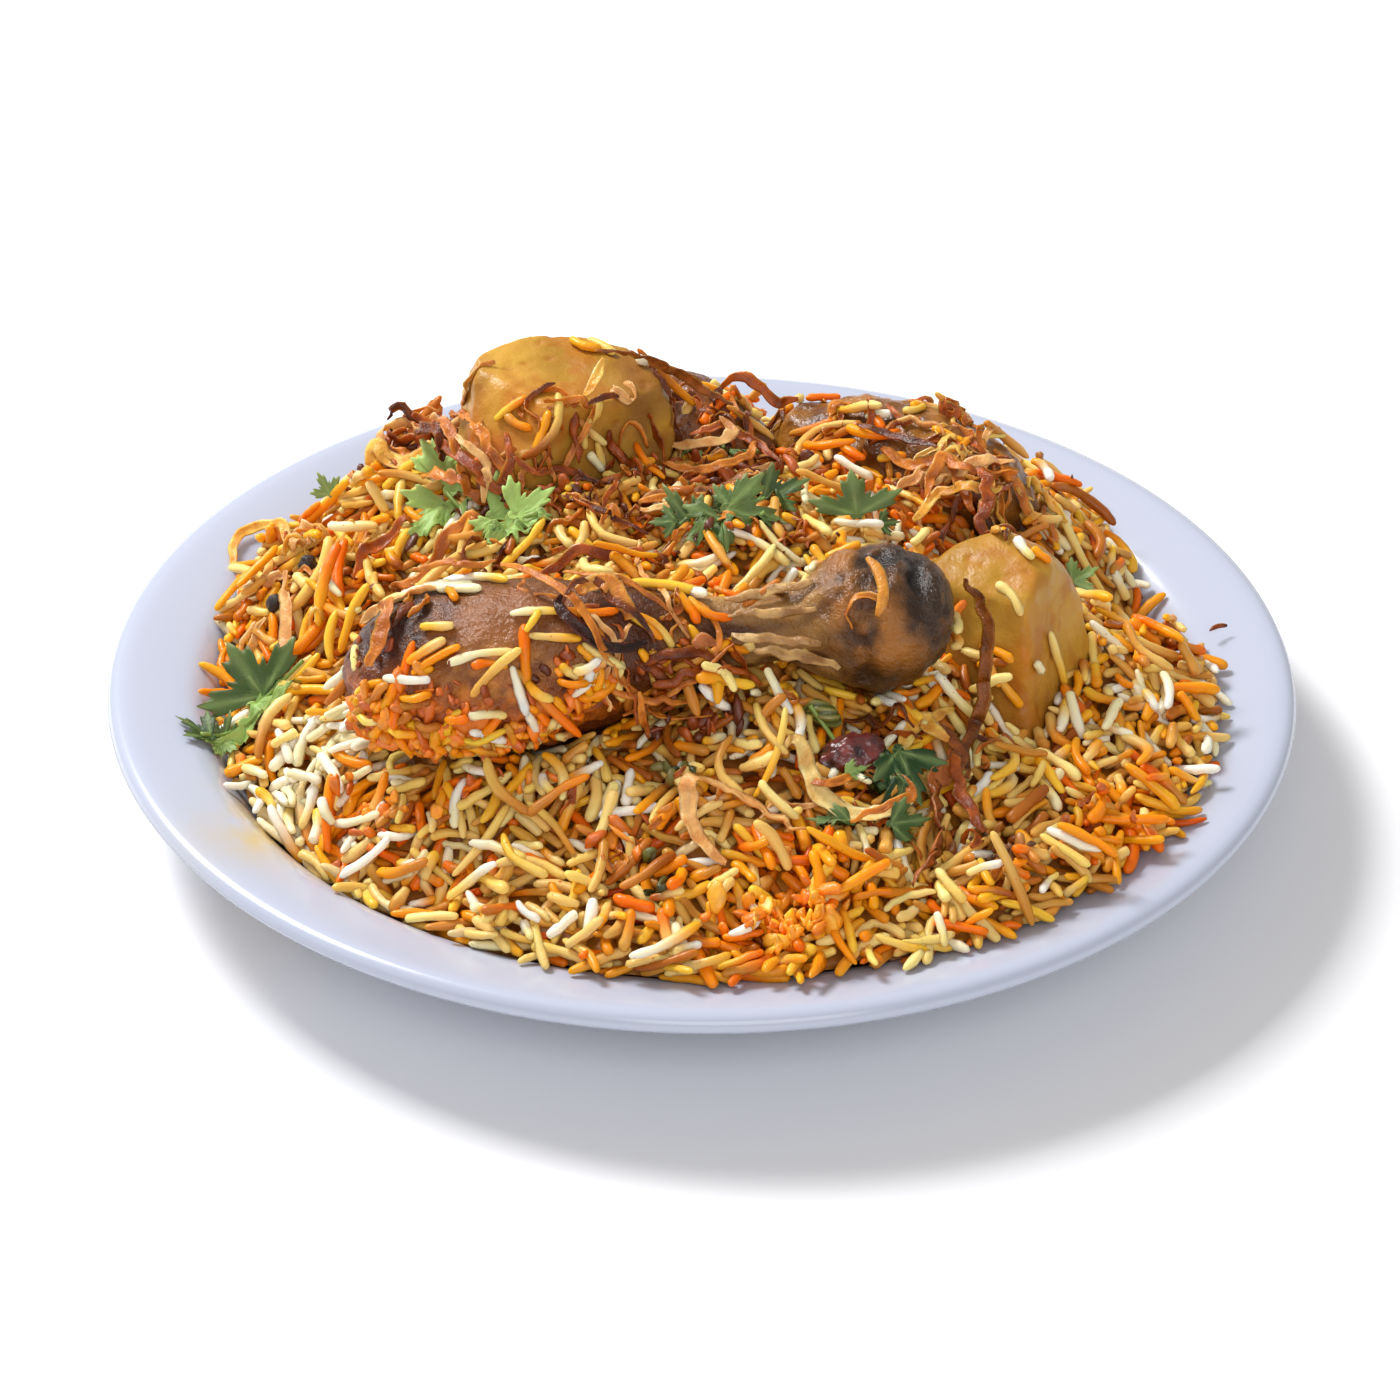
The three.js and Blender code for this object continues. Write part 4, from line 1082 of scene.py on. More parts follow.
# Strands of onion laid on the pieces and the rice: points, width, colours, crinkle.
STRANDS = [
    ([(-28, -58, 77), (-27, -56, 79), (-24, -50, 78), (-21, -50, 77), (-19, -53, 75), (-15, -55, 74),
      (-11, -57, 71), (-10, -58, 68)], 1.7, DARK, 0.3),
    ([(-14, -5, 60), (-14, -14, 60), (-12, -24, 62), (-8, -47, 73), (-6, -52, 71), (-3, -55, 67)], 1.4,
     TAWNY, 0.3),
    ([(-26, -52, 76), (-21, -50, 77), (-17, -52, 75), (-15, -56, 72)], 4.5,
     [srgb(226, 150, 60), srgb(180, 98, 30)], 0.6),
    ([(-28, -67, 61), (-27, -66, 64), (-28, -65, 67)], 1.2, DARK, 0.3),
    ([(-13, -66, 61), (-12, -66, 56), (-11, -65, 50)], 1.6, BROWN, 0.5),
    ([(-57, 44, 63), (-51, 26, 72), (-48, 19, 71), (-43, 13, 66), (-40, 11, 62), (-34, 10, 62)], 2.6,
     BROWN, 0.5),
    ([(-39, 22, 79), (-36, 23, 81), (-33, 26, 81)], 1.6, DARK, 0.3),
    ([(-25, 22, 78), (-22, 24, 79), (-19, 26, 78)], 1.8, DARK, 0.3),
    ([(-33, 13, 63), (-30, 16, 67), (-28, 18, 70), (-25, 21, 74), (-24, 22, 78)], 1.5, BROWN, 0.3),
    ([(-43, 18, 73), (-42, 13, 69), (-44, 12, 64), (-46, 13, 59)], 2.2, RED, 0.4),
    ([(-42, 14, 70), (-37, 12, 67), (-32, 14, 66), (-27, 15, 64), (-22, 12, 62)], 2.0, RED, 0.4),
    ([(-26, 24, 79), (-24, 28, 81), (-22, 32, 84)], 2.6, GOLD, 0.3),
    ([(-31, 7, 64), (-24, 3, 64), (-17, -1, 62), (-12, -3, 60)], 1.4, DARK, 0.4),
    ([(-14, 8, 62), (-6, 10, 62), (2, 11, 61), (11, 15, 61)], 2.4, BROWN, 0.4),
    ([(-14, 4, 62), (-6, 6, 62), (2, 7, 62), (9, 10, 62)], 2.0, TAWNY, 0.5),
    ([(39, 32, 62), (45, 27, 61), (50, 25, 63), (55, 20, 65), (60, 18, 64)], 3.0, BROWN, 0.6),
    ([(42, 18, 59), (48, 24, 61), (54, 21, 63), (62, 22, 65), (68, 27, 62)], 3.2, TAWNY, 0.6),
    ([(46, 8, 57), (52, 18, 59), (58, 15, 62), (66, 20, 59)], 2.6, GOLD, 0.6),
    ([(48, 14, 60), (52, 22, 65), (56, 20, 62), (58, 12, 58)], 3.0, BROWN, 0.6),
    ([(60, 22, 64), (62, 14, 62), (60, 8, 58), (62, 4, 56)], 3.2, RED, 0.6),
    ([(34, 36, 66), (44, 30, 66), (51, 25, 67)], 2.0, DARK, 0.3),
    ([(-3, 38, 62), (4, 40, 63), (10, 38, 61), (16, 30, 60)], 2.4, RED, 0.5),
    ([(-10, 24, 62), (-1, 22, 62), (8, 27, 62), (12, 36, 61)], 2.4, BROWN, 0.5),
    ([(-8, 32, 62), (0, 30, 64), (6, 34, 64), (4, 42, 64)], 2.8, TAWNY, 0.6),
    ([(-60, 30, 62), (-56, 22, 66), (-51, 15, 67), (-46, 12, 63), (-40, 10, 64)], 3.2, RED, 0.8),
    ([(-62, 26, 58), (-57, 18, 62), (-52, 13, 62), (-47, 12, 58)], 3.4, BROWN, 0.9),
    ([(-58, 34, 68), (-57, 26, 70), (-54, 19, 68), (-52, 15, 62)], 2.6, BROWN, 0.7),
    ([(-54, 18, 72), (-50, 15, 70), (-47, 12, 66), (-48, 10, 60)], 2.2, TAWNY, 0.7),
    ([(-64, 36, 64), (-62, 30, 67), (-58, 26, 68), (-58, 20, 64)], 3.0, DARK, 0.8),
    ([(-50, 14, 60), (-45, 11, 61), (-38, 9, 60), (-32, 8, 61)], 2.4, DARK, 0.6),
    ([(41, -62, 46), (43, -57, 48), (46, -55, 48), (47, -58, 48), (50, -60, 46)], 3.6, GOLD, 0.4),
    ([(42, -60, 47), (46, -55, 47), (48, -54, 48), (52, -48, 46)], 2.4, GOLD, 0.3),
    ([(30, -83, 42), (38, -79, 43), (43, -74, 43), (38, -71, 44), (32, -71, 45), (25, -76, 46),
      (20, -73, 46)], 2.2, BROWN, 0.5),
    ([(51, -61, 45), (52, -68, 42), (55, -77, 40), (57, -81, 38)], 2.6, RED, 0.5),
    ([(55, -56, 45), (61, -54, 41), (64, -57, 39)], 1.5, DARK, 0.3),
    ([(-28, -45, 76), (-20, -48, 77), (-12, -50, 75), (-6, -52, 71)], 1.3, BROWN, 0.4),
    ([(-25, -55, 75), (-20, -59, 72), (-17, -62, 67), (-18, -64, 61)], 1.4, TAWNY, 0.4),
    ([(-2, -45, 70), (2, -50, 69), (3, -56, 65), (0, -60, 58)], 1.4, BROWN, 0.5),
    ([(113, 11, 28.3), (115, 12.5, 28.6), (117, 13, 28.6)], 1.2, DARK, 0.2),
]


# Fibres of meat and skin that stand off the drumstick, in the same form.
TORN = [srgb(140, 66, 20), srgb(70, 26, 4)]
TORN_BITS = [
    ([(-14, -60, 63), (-7, -60, 66), (-1, -58, 66), (4, -57, 62)], 2.6, TORN, 0.5),
    ([(-16, -60, 66), (-10, -61, 63), (-6, -61, 58), (-8, -62, 53)], 2.2, TORN, 0.5),
    ([(-10, -62, 60), (-3, -61, 62), (2, -58, 60), (5, -57, 54)], 2.4, RED, 0.6),
    ([(-18, -64, 60), (-10, -64, 58), (-2, -61, 56)], 2.0, BROWN, 0.5),
    ([(-4, -58, 64), (2, -58, 61), (8, -56, 60), (12, -55, 56)], 1.8, RED, 0.4),
    ([(-16, -64, 54), (-8, -62, 57), (0, -60, 62), (6, -55, 66)], 1.4, BROWN, 0.3),
    ([(-2, -58, 68), (1, -58, 69), (3, -57, 67)], 3.0, [srgb(176, 104, 56), srgb(120, 60, 24)], 0.5),
    ([(4, -46, 71), (12, -46, 72.5), (22, -45, 74)], 2.4, [srgb(206, 166, 108), srgb(146, 104, 58)], 0.5),
    ([(5, -51, 70), (13, -51, 71), (23, -51, 72)], 2.0, [srgb(196, 154, 96), srgb(130, 90, 46)], 0.5),
    ([(6, -54, 67), (14, -55, 67), (24, -55, 66)], 2.4, [srgb(206, 168, 112), srgb(148, 106, 60)], 0.5),
    ([(10, -54, 64), (19, -56, 64), (28, -57, 62)], 2.6, [srgb(196, 156, 98), srgb(132, 90, 46)], 0.6),
    ([(33, -46, 81), (35, -49, 80.5), (36, -52, 79), (36, -55, 77), (35, -57, 74)], 2.6,
     [srgb(220, 146, 50), srgb(170, 100, 30)], 0.12),
    ([(-60, -38, 72), (-52, -42, 76), (-42, -44, 78)], 1.6, BROWN, 0.6),
]


def build_strands(name, table, seed, stuff, slot, **form):
    """Single strands at their places on the pieces and the rice."""
    strands = Strips()
    for index, (points, width, colours, crinkle) in enumerate(table):
        strands.add(points, width, colours, seed + index, facing=(0, -0.6, 0.8), crinkle=crinkle, **form)
    strands.build(name, stuff)


# Where shreds of fried onion lie: middle, spread, how many, length, heading in degrees, its scatter, colours
SHRED_PLACES = [
    ((-30, 13), (20, 6), 22, (10, 24), 0, 50, [BROWN, RED, DARK, BROWN]),
    ((-34, 21), (14, 4), 7, (8, 16), 80, 30, [BROWN, RED, BROWN]),
    ((-64, 48), (12, 9), 20, (8, 20), 0, 90, [BROWN, DARK, RED, TAWNY]),
    ((4, 26), (13, 14), 22, (10, 22), 20, 60, [BROWN, RED, DARK, TAWNY]),
    ((2, 48), (10, 10), 12, (10, 20), -20, 60, [BROWN, RED, DARK]),
    ((58, 28), (13, 10), 30, (9, 22), -20, 80, [BROWN, GOLD, RED, TAWNY]),
    ((45, 45), (16, 9), 8, (8, 18), 0, 60, [BROWN, RED]),
    ((60, 3), (10, 6), 8, (10, 20), 10, 50, [BROWN, DARK, RED]),
    ((-20, -54), (10, 4), 4, (10, 20), 0, 28, [RED, BROWN, TAWNY]),
    ((-64, -44), (7, 6), 5, (9, 18), 20, 40, [BROWN, TAWNY, DARK]),
    ((-2, -55), (12, 4), 7, (7, 15), 0, 25, [RED, BROWN]),
    ((-90, 12), (9, 26), 12, (8, 18), 60, 60, [BROWN, TAWNY, GOLD]),
    ((-52, 4), (20, 8), 9, (10, 22), 20, 50, [BROWN, RED, DARK]),
    ((12, -6), (20, 9), 8, (9, 20), 0, 70, [BROWN, DARK, RED]),
    ((38, -72), (16, 12), 8, (8, 18), -40, 70, [BROWN, RED, TAWNY]),
    ((70, -60), (20, 20), 6, (6, 14), 0, 90, [BROWN, RED]),
    ((-10, -85), (40, 12), 6, (5, 12), 0, 90, [BROWN, RED]),
    ((20, 75), (55, 16), 22, (8, 18), 0, 90, [BROWN, RED, DARK, GOLD]),
    ((-70, 65), (18, 14), 10, (8, 16), 0, 90, [BROWN, RED, TAWNY]),
]


def wander(ground, start, heading, length, curl, lift, local):
    """A path of one-millimetre steps that winds about over the ground and drapes down its steps."""
    steps = max(6, int(length))
    bend, at, path = local.normal(0, curl), np.array(start, float), []
    for _ in range(steps):
        path.append(at.copy())
        bend = 0.8 * bend + local.normal(0, curl)
        heading += bend
        at = at + np.array([math.cos(heading), math.sin(heading)])
    path = np.array(path)
    z = ground[cell_of(path[:, 0], path[:, 1])]
    for i in range(1, steps):
        z[i] = max(z[i], z[i - 1] - 1.8)
    for i in range(steps - 2, -1, -1):
        z[i] = max(z[i], z[i + 1] - 1.8)
    rise = lift * (0.6 + 0.6 * noise_at(np.c_[path, np.zeros(steps)], 5, int(local.integers(90))))
    return np.c_[path, z + rise][::2] if steps > 8 else np.c_[path, z + rise]


def build_shreds(stuff, ground):
    """The many fine shreds of fried onion strewn over the dish."""
    local = np.random.default_rng(77)
    shreds = Strips()
    for middle, spread, count, (shortest, longest), heading, scatter, palette in SHRED_PLACES:
        for k in range(count):
            start = np.array(middle) + local.normal(size=2) * np.array(spread) * 0.6
            if not is_rice[cell_of(*start)] and not is_piece[cell_of(*start)]:
                continue
            turned = math.radians(heading + local.normal(0, scatter))
            turned += math.pi if local.random() < 0.5 else 0
            path = wander(ground, start, turned, local.uniform(shortest, longest), 0.2,
                          local.uniform(0.5, 1.6), local)
            shreds.add(path, local.uniform(1.1, 2.8), palette[k % len(palette)], 900 + shreds.used % 5000,
                       facing=unit(local.normal(size=3) * 0.5 + np.array([0, -0.3, 1])), crinkle=0.55,
                       cup=0.45, turns=local.uniform(-0.5, 0.5), thickness=0.4)
    shreds.build("onion_shreds", stuff)


# Each CAD clump of onion, the colours of its strips and how many there are.
CLUMP_STRIPS = [
    ("onion_clump_left", [BROWN, DARK, RED, TAWNY], 26),
    ("onion_clump_right", [BROWN, RED, GOLD, TAWNY], 18),
]


def tangled_path(middle, half, local):
    """Points of a strip that winds about in the ellipsoid with this middle and these half sizes."""
    step = 3.2
    direction = unit(local.normal(size=3) * np.array([1, 1, 0.6]))
    at = middle + direction * half * local.uniform(0.35, 0.8)
    heading = local.uniform(0, 2 * math.pi)
    path = [at]
    for _ in range(5):
        heading += local.normal(0, 0.9)
        at = at + step * np.array([math.cos(heading), math.sin(heading), local.normal(0, 0.4)])
        off = (at - middle) / half
        at = middle + half * off / max(1, np.linalg.norm(off))
        path.append(at)
    return path


def build_clumps(stuff):
    """Each CAD clump becomes a tangle of strips that winds through its volume."""
    for index, (node, palette, count) in enumerate(CLUMP_STRIPS):
        low, high = (np.array(c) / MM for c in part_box(node))
        middle, half = (low + high) / 2, (high - low) / 2
        local = np.random.default_rng(300 + index)
        tangle = Strips()
        for k in range(count):
            path = tangled_path(middle, half, local)
            tangle.add(path, local.uniform(1.8, 3.4), palette[k % len(palette)], 400 + 40 * index + k,
                       facing=unit(local.normal(size=3) + np.array([0, -0.3, 1])), crinkle=0.5,
                       turns=local.uniform(-0.4, 0.4))
        piece = tangle.build(node + "_tangle", stuff)
        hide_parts(node)


# ---------------------------------------------------------------- grains lying on the pieces

# Colour, start and end of grains that lie on the chicken and the potatoes.
LAID_GRAINS = [
    ("white", (-39, -58, 75), (-28, -57, 76)), ("orange", (-36, -60, 74), (-35, -67, 63)),
    ("yellow", (-35, -62, 72), (-24, -63, 72)), ("white", (-51, -64, 66), (-37, -64, 69)),
    ("white", (-38, -66, 67), (-35, -68, 57)), ("white", (-36, -68, 60), (-33, -68, 49)),
    ("orange", (-63, -65, 58), (-54, -64, 65)), ("orange", (-46, -65, 66), (-39, -65, 66)),
    ("orange", (-35, -67, 64), (-30, -67, 60)), ("orange", (-30, -66, 60), (-26, -66, 54)),
    ("white", (-26, -66, 60), (-22, -64, 66)), ("orange", (-25, -63, 70), (-21, -64, 66)),
    ("orange", (-22, -65, 60), (-21, -64, 67)), ("yellow", (-24, -63, 71), (-15, -64, 65)),
    ("white", (-47, -69, 57), (-39, -69, 57)), ("white", (-46, -69, 54), (-40, -69, 51)),
    ("yellow", (-16, -62, 66), (-14, -65, 55)), ("golden", (-3, -46, 70), (6, -49, 68)),
    ("orange", (-2, -53, 66), (10, -53, 62)), ("yellow", (19, -37, 74), (21, -53, 61)),
    ("orange", (-13, -34, 68), (-4, -36, 67)), ("white", (-64, -40, 70), (-52, -42, 74)),
    ("white", (-58, -41, 72), (-47, -44, 75)), ("white", (-54, -45, 73), (-45, -48, 75)),
    ("orange", (-52, -45, 73), (-50, -51, 73)), ("yellow", (-60, -45, 70), (-67, -44, 66)),
    ("white", (66, -17, 69), (69, -23, 67)), ("orange", (69, -20, 68), (73, -22, 66)),
    ("yellow", (61, -28, 64), (66, -34, 60)), ("yellow", (73, -29, 53), (77, -28, 39)),
    ("orange", (79, -34, 36), (83, -25, 40)), ("yellow", (57, -46, 62), (63, -37, 60)),
    ("yellow", (55, -44, 55), (62, -39, 57)), ("white", (69, -36, 50), (71, -35, 47)),
    ("golden", (-46, 22, 74), (-39, 24, 79)), ("golden", (-37, 15, 70), (-34, 20, 78)),
    ("yellow", (-26, 22, 73), (-23, 25, 78)), ("yellow", (-26, 20, 68), (-25, 23, 74)),
    ("white", (-25, 20, 67), (-22, 21, 62)), ("yellow", (-23, 21, 69), (-22, 21, 62)),
    ("golden", (-30, 48, 82), (-23, 45, 81)), ("yellow", (-26, 48, 82), (-20, 43, 81)),
    ("golden", (-57, -56, 70), (-50, -58, 72)), ("orange", (-70, -60, 52), (-64, -66, 50)),
    ("golden", (-14, -54, 70), (-6, -57, 66)), ("golden", (36, 28, 62), (44, 30, 62)),
    ("white", (22, -36, 72), (26, -32, 70)), ("golden", (26, -34, 72), (33, -33, 74)),
]


def cling(start, end, height, sag):
    """A grain's line from start to end, laid on the nearest surface of the pieces."""
    start, end = np.array(start, float), np.array(end, float)
    across = unit(np.cross(end - start, [0, 0, 1.0]) + 1e-6)
    share = RING_AT
    bow = across * (sag * (1 - share ** 2))[:, None]
    line = start + (end - start) * ((share[:, None] + 1) / 2) + bow
    tree = min(SURFACES.values(), key=lambda t: t.find_nearest(Vector((start + end) / 2))[3])
    found = [tree.find_nearest(Vector(point)) for point in line]
    laid = np.array([np.array(near) + np.array(normal) * height for near, normal, _, _ in found])
    outward = unit(np.array([normal for _, normal, _, _ in found]).mean(0))
    straight = laid[0] + (laid[-1] - laid[0]) * ((share + 1) / 2)[:, None]
    bulge = np.clip((laid - straight) @ outward, 0, None)
    return straight + outward * bulge[:, None] * 0.9 + bow


# Where short grains stick to the pieces: middle, spread, how many, colours.
STUCK_GRAINS = [
    ((-66, -66, 54), (9, 3, 6), 30, ["orange", "orange", "golden", "masala"]),
    ((-52, -69, 50), (10, 3, 5), 22, ["orange", "masala", "tan", "golden"]),
    ((-34, -68, 50), (12, 3, 5), 14, ["masala", "orange", "yellow"]),
    ((-24, -65, 63), (7, 3, 6), 12, ["orange", "orange", "yellow"]),
    ((-6, -58, 60), (9, 3, 5), 10, ["masala", "tan", "orange"]),
    ((48, 26, 60), (14, 8, 5), 14, ["tan", "orange", "masala"]),
    ((16, 62, 60), (14, 8, 5), 12, ["tan", "orange", "yellow"]),
    ((-46, 16, 60), (6, 3, 6), 8, ["golden", "masala"]),
]


def build_laid_grains(stuff):
    """Grains that lie on the pieces, placed singly or scattered."""
    local = np.random.default_rng(12)
    laid = list(LAID_GRAINS)
    for middle, spread, count, colours in STUCK_GRAINS:
        for k in range(count):
            start = np.array(middle) + local.normal(size=3) * np.array(spread) * 0.6
            away = unit(local.normal(size=3) * np.array([1, 0.4, 0.8])) * local.uniform(4.5, 9)
            laid.append((colours[k % len(colours)], start, start + away))
    lines = np.array([cling(a, b, 0.9, local.normal(0, 1.0)) for _, a, b in laid])
    kinds = np.array([KINDS.index(kind) for kind, _, _ in laid])
    add_grains("grains_on_pieces", lines, local.uniform(0.95, 1.22, len(lines)), kinds,
               np.zeros(len(lines)), stuff, local)


# ---------------------------------------------------------------- coriander

# Where each leaf's stem joins it, the heading of the leaf in degrees in its own leaning plane, its length,
# how dark it is from 0 to 1, and its width to its length.
LEAVES = [
    ((-56, 24), 62, 16, 0.0, 0.9), ((-60, 26), 100, 9, 0.05, 0.7), ((-56, 20), 240, 14, 0.05, 0.9),
    ((-46, 8), 39, 13, 0.0, 0.8), ((-41, 3), 41, 11, 0.0, 0.9), ((-43, 2), 225, 9, 0.1, 1.0),
    ((-43, 2), 4, 11, 0.3, 0.5), ((-95, -18), 112, 14, 0.88, 1.2), ((-105, -29), 155, 9, 0.95, 0.8),
    ((-103, -26), 80, 7, 0.75, 0.6), ((-97, -20), 350, 12, 0.1, 0.9), ((-98, -26), 305, 14, 0.1, 0.9),
    ((-103, -28), 270, 7, 0.5, 0.7), ((-2, -2), 127, 12, 0.8, 0.6), ((4, -5), 212, 11, 0.8, 0.9),
    ((5, -5), 333, 13, 0.7, 0.9), ((6, -4), 60, 9, 0.75, 0.8), ((2, 3), 4, 9, 0.9, 0.5),
    ((13, 5), 28, 11, 0.9, 0.7), ((33, 2), 110, 10, 0.75, 1.3), ((38, 5), 20, 5, 0.9, 0.8),
    ((-6, -2), 190, 6, 0.85, 0.8), ((4, 41), 25, 9, 0.55, 0.8), ((5, 41), 315, 7, 0.5, 0.9),
    ((-1, 35), 207, 6, 0.6, 0.8), ((41, -72), 185, 13, 1.0, 0.9), ((26, -80), 283, 7, 0.75, 0.7),
    ((30, -82), 180, 9, 0.8, 0.5), ((38, -82), 21, 9, 0.9, 0.7), ((40, -66), 298, 13, 1.0, 0.8),
    ((29, -72), 28, 6, 0.25, 0.5), ((38, 66), 60, 8, 0.5, 0.9), ((-26, 72), 130, 8, 0.4, 0.9),
    ((82, 16), 20, 7, 0.5, 0.9), ((-44, 76), 60, 7, 0.4, 0.9), ((58, 74), 120, 7, 0.5, 0.9),
    ((-84, 34), 130, 6, 0.5, 0.8),
]
# Stems from leaf to leaf, as points on the ground.
STEMS = [
    [(-62, 34), (-57, 24), (-53, 16), (-46, 6), (-36, 2)],
    [(-107, -30), (-102, -25), (-96, -19), (-86, -16)],
    [(-102, -25), (-98, -26), (-94, -28)],
    [(-2, -3), (4, -5), (9, -7), (13, -6)],
    [(6, -4), (10, 0), (13, 5)],
    [(-2, 38), (4, 40), (12, 38)],
    [(22, -57), (26, -60), (30, -67), (33, -70)],
]
LEAF_RINGS = 7
LEAF_COLUMNS = 96
LEAF_LEAN = math.radians(42)  # of the leaves' plane from level
STEM_RADIUS = 0.5


def leaf(length, width, seed):
    """A toothed, three-lobed leaf, thin and closed, lying along +X from its stem at the origin."""
    a = np.linspace(-math.pi, math.pi, LEAF_COLUMNS, endpoint=False)
    lobe = 0.5 + 0.5 * np.cos(2 * math.pi * a / math.radians(62))
    outline = 0.5 + 0.42 * lobe + 0.1 * np.cos(2 * math.pi * a / math.radians(15.5))
    outline = outline * (1 - 0.25 * (a / 1.9) ** 2)
    outline = np.where(np.abs(a) > 1.5, 0.12, outline) * length
    share = np.arange(1, LEAF_RINGS + 1)[:, None] / LEAF_RINGS
    x, y = share * outline * np.cos(a), width * share * outline * np.sin(a)
    flat = np.stack([x, y, np.zeros_like(x)], axis=2).reshape(-1, 3)
    local = np.random.default_rng(seed)
    droop, fold = local.uniform(-0.01, 0.03), local.uniform(0.05, 0.3)
    z = (-droop * (flat[:, 0] ** 2 + flat[:, 1] ** 2) + fold * np.abs(flat[:, 1])
         + 0.7 * noise_at(flat + 9 * seed, 3.5, seed % 83))
    vein = np.tile(lobe ** 8, LEAF_RINGS) + 0.5 * np.repeat(share.ravel() < 0.3, LEAF_COLUMNS)
    rim = np.repeat(share.ravel() == 1, LEAF_COLUMNS)
    thick = np.where(rim, 0.02, 0.12)
    top, bottom = flat + np.c_[z * 0, z * 0, z + thick], flat + np.c_[z * 0, z * 0, z - thick]
    vertices = np.vstack([top, bottom, [[0, 0, 0.12], [0, 0, -0.12]]])
    first = np.arange(LEAF_COLUMNS)
    after = (first + 1) % LEAF_COLUMNS
    sheet = walls(LEAF_RINGS, LEAF_COLUMNS)
    half = len(flat)
    hub = np.stack([np.full(LEAF_COLUMNS, 2 * half), first, after], 1)
    under = np.stack([np.full(LEAF_COLUMNS, 2 * half + 1), half + after, half + first], 1)
    last = half - LEAF_COLUMNS
    edge = np.vstack([np.stack([last + first, half + last + first, half + last + after], 1),
                      np.stack([last + first, half + last + after, last + after], 1)])
    faces = np.vstack([sheet, sheet[:, ::-1] + half, hub, under, edge])
    return vertices, faces, np.concatenate([vein, vein, [1, 1]])


def round_tube(path, radius, columns=6):
    """Vertices and faces of a closed round tube along path."""
    along = unit(np.gradient(path, axis=0))
    side = unit(np.cross(along, [0.13, 0.21, 1.0]))
    out = np.cross(side, along)
    turn = np.arange(columns) / columns * 2 * math.pi
    ring = np.cos(turn)[None, :, None] * side[:, None] + np.sin(turn)[None, :, None] * out[:, None]
    vertices = (path[:, None] + radius * ring).reshape(-1, 3)
    return vertices, tube_faces(len(path), columns)


def build_coriander(ground):
    """Sprigs of coriander lying on the rice."""
    bright, dark = srgb(156, 186, 98), srgb(26, 58, 14)
    parts = []
    for index, (place, heading, length, darkness, width) in enumerate(LEAVES):
        vertices, faces, vein = leaf(length, width, 500 + index)
        turn = (Euler((LEAF_LEAN + 0.25 * math.sin(3 * index), 0.3 * math.sin(7 * index), 0)).to_matrix()
                @ Euler((0, 0, math.radians(heading))).to_matrix())
        vertices = vertices @ np.array(turn).T
        vertices = vertices + np.array([*place, ground[cell_of(*place)] + 2.0])
        floor = ground[cell_of(vertices[:, 0], vertices[:, 1])] + 1.3 + 0.2 * noise_at(vertices, 2, 7)
        vertices[:, 2] = np.maximum(vertices[:, 2], floor)
        colour = mix(bright, dark, np.full(len(vertices), darkness))
        patch = 0.5 + 0.5 * noise_at(vertices, 4, 33)
        tints = colour * (0.8 + 0.4 * patch)[:, None]
        parts.append((vertices, faces, mix(tints, srgb(172, 196, 120), np.clip(0.25 * vein, 0, 0.5))))
    blades = material("coriander_leaf", bump=[(0.8, 0.14)], Roughness=0.5, Subsurface_Weight=0.15,
                      Subsurface_Scale=0.001, Specular_IOR_Level=0.35)
    add_parts("coriander_leaves", parts, blades)
    stalks = []
    for points in STEMS:
        p = np.array(points, float)
        z = ground[cell_of(p[:, 0], p[:, 1])] + 1.8
        vertices, faces = round_tube(curve_through(np.c_[p, z], 24), STEM_RADIUS)
        stalks.append((vertices, faces, np.tile(srgb(134, 160, 78), (len(vertices), 1))))
    stem = material("coriander_stem", bump=[(1.5, 0.1)], Roughness=0.4, Subsurface_Weight=0.2,
                    Subsurface_Scale=0.001)
    add_parts("coriander_stems", stalks, stem)


# ---------------------------------------------------------------- masala crumbs

# Where loose bits of masala lie: middle, spread, how many, size, colours.
CRUMB_PLACES = [
    ((-58, -71), (16, 3), 14, (1.4, 3.4), "orange"), ((-66, -62), (8, 5), 10, (1.6, 4.0), "orange"),
    ((-44, -71), (14, 3), 10, (1.2, 3.0), "orange"), ((-2, -61), (12, 3), 24, (1.2, 3.4), "red"),
    ((-15, -84), (7, 4), 12, (1.2, 3.0), "orange"), ((58, -82), (9, 5), 16, (1.2, 3.0), "tan"),
    ((-30, 10), (22, 4), 30, (1.0, 2.8), "red"), ((-64, 46), (12, 8), 50, (1.2, 3.8), "red"),
    ((4, 26), (12, 10), 56, (1.2, 3.8), "red"), ((52, 24), (16, 7), 44, (1.2, 3.6), "orange"),
    ((60, 60), (28, 16), 20, (1.0, 2.6), "tan"), ((0, -8), (36, 5), 18, (1.0, 2.4), "red"),
    ((17, -104), (8, 5), 90, (1.4, 3.4), "mash"), ((-9, -95), (3, 7), 5, (1.6, 3.6), "green"),
    ((-4, -74), (5, 3), 6, (1.6, 3.6), "green"), ((88, -68), (8, 5), 10, (1.6, 3.6), "orange"),
]
CRUMB_COLOURS = {
    "red": [srgb(140, 60, 14), srgb(178, 84, 20), srgb(96, 40, 10)],
    "orange": [srgb(246, 148, 24), srgb(232, 120, 14), srgb(200, 94, 14)],
    "mash": [srgb(254, 176, 40), srgb(250, 156, 20), srgb(244, 130, 8)],
    "green": [srgb(92, 92, 34), srgb(66, 68, 24), srgb(110, 100, 46)],
    "tan": [srgb(176, 116, 52), srgb(130, 80, 36), srgb(86, 50, 24)],
}


